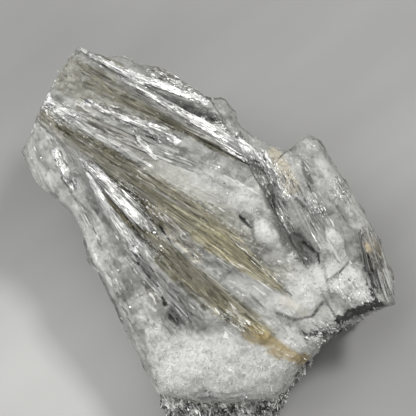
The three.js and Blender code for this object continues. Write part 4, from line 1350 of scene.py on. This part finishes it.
# %% The crystals' tone
def crystal_tone(tree, at):
    """How much lighter or darker than its tint the rock is: silky, icy or sugary, mixed by the layers."""
    nicked = product(
        tree,
        spread_out(tree, at.nick, 0.0, 1.0, 0.74, 1.24),
        spread_out(tree, at.nick, 0.08, 0.11, 0.5, 1.0),
    )
    silky = product(
        tree,
        spread_out(tree, at.wide, 0.0, 1.0, 0.74, 1.2),
        # the darkest thin cells are painted shade between fibres, and the brightest painted glint lines
        spread_out(tree, at.thin, 0.18, 0.22, 0.42, 1.0),
        spread_out(tree, at.thin, 0.86, 0.88, 0.95, 1.75),
        spread_out(tree, at.fine_lines, 0.3, 0.7, 0.74, 1.24),
        mixed(tree, at.lively, 1.0, nicked),
    )
    icy = product(
        tree,
        spread_out(tree, at.plate, 0.0, 1.0, 0.88, 1.09),
        spread_out(tree, at.chip, 0.0, 1.0, 0.88, 1.08),
        spread_out(tree, at.mottle, 0.3, 0.7, 0.90, 1.07),
    )
    sugary = product(
        tree,
        spread_out(tree, at.mottle, 0.3, 0.7, 0.91, 1.05),
        spread_out(tree, at.crumb, 0.0, 1.0, 0.95, 1.03),
    )
    return mixed(tree, at.sugar, mixed(tree, at.silk, icy, silky), sugary)


print("three tones: silky, icy and sugary")

# %% The crystals' colour
GLINT_FLECK = (0.62, 0.62, 0.58, 1)  # the colour of the smallest painted glints


def crystal_colour(tree, at):
    """The tint times the tone, with painted glints as flecks and bright fibres, and specks of clay laid over
    it.
    """
    colour = vectors(tree, "MULTIPLY", at.tint, crystal_tone(tree, at))
    glint_flecks = spread_out(tree, at.nick, 0.965, 0.975, 0.0, 0.6)
    glint_flecks = product(tree, glint_flecks, product(tree, at.silk, at.lively))
    # painted highlights: where the painted glint layer or a high pick says so, the colour becomes a pale
    # grey broken by darker lines
    shining = weighed(tree, (at.shine, 1.0), (at.jumble, 1.0))
    gleam = product(
        tree,
        spread_out(tree, at.thin, 0.22, 0.26, 0.2, 0.95),
        spread_out(tree, at.nick, 0.14, 0.18, 0.4, 1.0),
        spread_out(tree, at.nick, 0.2, 1.0, 0.84, 1.0),
        spread_out(tree, at.fine_lines, 0.35, 0.6, 0.72, 1.0),
    )
    clayey = weighed(tree, (at.clay, 1.0), (mixed(tree, 0.5, at.jumble, at.chip), 0.9))
    colour = painted(tree, glint_flecks, colour, GLINT_FLECK)
    colour = painted(tree, spread_out(tree, shining, 0.98, 1.12, 0.0, 1.0), colour, gleam)
    return painted(tree, spread_out(tree, clayey, 0.94, 1.04, 0.0, 1.0), colour, (*TINTS["clay"], 1))


print("laid over the tint: flecks, bright fibres and clay")

# %% [markdown]
# The slopes of the same cells tilt the surface, and their picks set how rough each one is, so tone,
# tilt and gloss change together, as they do from one real crystal to the next.

# %% The crystals' gloss and finish
GLOSS = 0.18  # roughness of the smoothest crystals


def crystal_roughness(tree, at):
    """Smoothest in some chips or thin fibres, rougher in others, in sugary rock and most in clay."""
    chips = spread_out(tree, at.chip, 0.0, 1.0, GLOSS, GLOSS + 0.3)
    thin = spread_out(tree, at.thin, 0.0, 1.0, GLOSS, GLOSS + 0.25)
    glossy = mixed(tree, at.silk, chips, thin)
    return mixed(tree, at.clay, mixed(tree, at.sugar, glossy, 0.5), 0.75)


def crystal_bumps(tree, at, height):
    """The slopes of the cells, in the same three ways as the tone, as bumps of a height in mm."""
    silky = weighed(
        tree, (at.wide_slope, 0.6), (at.thin_slope, 0.16), (at.nick_slope, 0.14), (at.fine_lines, 0.03)
    )
    icy = weighed(tree, (at.plate_slope, 0.6), (at.chip_slope, 0.36), (at.mottle, 0.2))
    sugary = weighed(tree, (at.crumb_slope, 0.16), (at.mottle, 0.5))
    relief = mixed(tree, at.sugar, mixed(tree, at.silk, icy, silky), sugary)
    inputs = {"Height": relief, "Distance": height * MM, "Strength": 1.0}
    return add_node(tree, "ShaderNodeBump", inputs).outputs["Normal"]


def crystal_finish(name, bump_height):
    """A crystal material: colour, roughness and bumps from one set of patterns, and light under the skin."""
    material, tree, shader = blank_material(name)
    at = crystal_patterns(tree)
    tree.links.new(crystal_colour(tree, at), shader.inputs["Base Color"])
    tree.links.new(crystal_roughness(tree, at), shader.inputs["Roughness"])
    tree.links.new(crystal_bumps(tree, at, bump_height), shader.inputs["Normal"])
    tree.links.new(at.pearl, shader.inputs["Metallic"])
    shader.inputs["Subsurface Weight"].default_value = 0.3
    shader.inputs["Subsurface Radius"].default_value = (1.0, 0.95, 0.85)
    shader.inputs["Subsurface Scale"].default_value = 1.2 * MM
    shader.inputs["IOR"].default_value = 1.53
    return material


rock_finish = crystal_finish("silky_rock", 1.0)
fibre_finish = crystal_finish("silky_fibre", 0.3)
crystal_mass.data.materials.append(rock_finish)
for piece in [*fibres, short_blades, needles, glitter, threads]:
    piece.data.materials.append(fibre_finish)
print("finishes:", rock_finish.name, fibre_finish.name)

# %% [markdown]
# ## The clay's finish
# Near black and matt, with grey dust in clouds, a little more of it near the top, and a few pale
# threads of borate that run to the front. Dust is too thin to model, so one noise gives both its
# colour and its small bumps.

# %% The clay finish
clay_finish, tree, shader = blank_material("dark_clay")
place = add_node(tree, "ShaderNodeTexCoord").outputs["Object"]
dust = stretched_noise(tree, place, (420, 420, 200), 6)
height = add_node(tree, "ShaderNodeSeparateXYZ", {"Vector": place}).outputs["Z"]
paler = spread_out(tree, height, 5.0 * MM, 9.5 * MM, 0.0, 0.1)
ramp = add_node(tree, "ShaderNodeValToRGB", {"Fac": weighed(tree, (dust, 1.0), (paler, 1.0))})
dark, dusty = ramp.color_ramp.elements
dark.position, dark.color = 0.46, (0.05, 0.05, 0.048, 1)
dusty.position, dusty.color = 0.60, (0.66, 0.66, 0.64, 1)
borate = stretched_noise(tree, place, (1500, 260, 1500), 4)
borate = spread_out(tree, borate, 0.60, 0.68, 0.0, 0.8)
colour = painted(tree, borate, ramp.outputs["Color"], (0.5, 0.5, 0.48, 1))
tree.links.new(colour, shader.inputs["Base Color"])
shader.inputs["Roughness"].default_value = 0.8
bumps = add_node(tree, "ShaderNodeBump", {"Height": dust, "Distance": 0.3 * MM, "Strength": 1.0})
tree.links.new(bumps.outputs["Normal"], shader.inputs["Normal"])
clay_rock.data.materials.append(clay_finish)
print("finish:", clay_finish.name)

# %% [markdown]
# ## The floor
# The specimen lies on a plain pale floor, a flat square at the height that the clay rests on. It
# isn't quite even: the shade of faint soft folds is painted across it, and three broad pools of
# painted light and shade are lighter or darker. They are so faint that they are only in its
# colour, and the square stays flat.

# %% The floor
FLOOR_HALF = 1.0  # metres
FOLD_TURN = math.radians(-38)
# middle of a painted pool of light or shade in metres, its radius, and how much lighter it is
LIGHT_POOLS = [
    ((-0.036, -0.028, 0), 0.055, 0.145),
    ((-0.036, 0.052, 0), 0.05, -0.05),
    ((0.05, 0.03, 0), 0.03, 0.03),
]

corners = [(x * FLOOR_HALF, y * FLOOR_HALF, 0) for x, y in CORNERS.tolist()]
mesh = bpy.data.meshes.new("floor")
mesh.from_pydata(corners, [], [(0, 1, 2, 3)])
floor = bpy.data.objects.new("floor", mesh)
bpy.context.collection.objects.link(floor)
floor_finish, tree, shader = blank_material("pale_floor")
place = add_node(tree, "ShaderNodeTexCoord").outputs["Object"]
turned = add_node(tree, "ShaderNodeMapping", {"Vector": place, "Rotation": (0, 0, FOLD_TURN)})
# the folds' shade, painted in the colour
fold_shade = stretched_noise(tree, turned.outputs[0], (9, 46, 9), 2)
tone = spread_out(tree, fold_shade, 0.3, 0.7, 0.245, 0.285)
# painted pools of light and shade
for middle, radius, lighter in LIGHT_POOLS:
    away = vectors(tree, "DISTANCE", place, middle)
    inputs = {"Value": away, "From Max": radius, "To Min": lighter, "To Max": 0.0}
    light_pool = add_node(tree, "ShaderNodeMapRange", inputs, interpolation_type="SMOOTHSTEP")
    tone = numbers(tree, "ADD", tone, light_pool.outputs["Result"])
blue = spread_out(tree, tone, 0, 1, 0, 0.985)
colour = add_node(tree, "ShaderNodeCombineColor", {"Red": tone, "Green": tone, "Blue": blue})
tree.links.new(colour.outputs[0], shader.inputs["Base Color"])
shader.inputs["Roughness"].default_value = 0.7
floor.data.materials.append(floor_finish)
print("floor", 2 * FLOOR_HALF, "m wide, with", len(LIGHT_POOLS), "pools of light and shade")

# %% [markdown]
# ## The lights
# A large soft light from the upper left models the forms. Fibres only glint when a light stands
# across them, so a small one stands at the upper right. A third, low on the left, fills the
# shadows, and a weak even light from all round keeps them open. A painted studio all round the
# scene could light it too, but three lamps can each be turned and dimmed alone.

# %% The lights
def aim(thing, target):
    """Turns a light or camera so that its -Z axis points at the target."""
    way = np.array(target) - np.array(thing.location)
    thing.rotation_mode = "QUATERNION"
    thing.rotation_quaternion = Vector(way).to_track_quat("-Z", "Y")


def soft_light(name, towards, distance, size, power, colour):
    """A square area light, distance mm away in a direction given in the face's frame."""
    lamp = bpy.data.lights.new(name, "AREA")
    lamp.size = size * MM
    lamp.energy = power
    lamp.color = colour
    light = bpy.data.objects.new(name, lamp)
    bpy.context.collection.objects.link(light)
    way = np.array(towards) / np.linalg.norm(towards) * distance
    light.location = to_part(*way) * MM
    aim(light, to_part(0.0, 0.0, 0.0) * MM)
    print(name, [round(v, 2) for v in light.location])


soft_light("key", (-0.55, 0.5, 0.8), 900, 700, 6.0, (1.0, 1.0, 1.0))
soft_light("satin", (0.5, 0.72, 0.9), 700, 120, 3.0, (1.0, 0.99, 0.97))
soft_light("low_left", (-0.7, -0.9, 0.7), 800, 400, 2.6, (1.0, 1.0, 1.0))
world = bpy.data.worlds.new("studio")
world.use_nodes = True
background = world.node_tree.nodes["Background"]
background.inputs["Color"].default_value = (1.0, 1.0, 0.98, 1)
background.inputs["Strength"].default_value = 0.32
bpy.context.scene.world = world
bpy.context.scene.view_settings.view_transform = "Standard"

# %% [markdown]
# ## The camera
# It looks straight at the leaned face through a long lens, so that the face shows its true shape.

# %% The camera
LENS = 100.0
SENSOR = 36.0
VIEW_WIDTH = 83.2  # what the view takes in, at the face
VIEW_UP = 3.4  # how far up the face its middle is
ELEVATION = math.radians(75)  # square to the face

view_middle = to_part(0.0, VIEW_UP, 0.0) * MM
camera = bpy.data.objects.new("camera", bpy.data.cameras.new("camera"))
bpy.context.collection.objects.link(camera)
camera.data.lens = LENS
camera.data.clip_end = 10
back = np.array([0, -math.cos(ELEVATION), math.sin(ELEVATION)])
camera.location = view_middle + back * VIEW_WIDTH * MM * LENS / SENSOR
aim(camera, view_middle)
bpy.context.scene.camera = camera
print("camera", [round(v, 3) for v in camera.location])
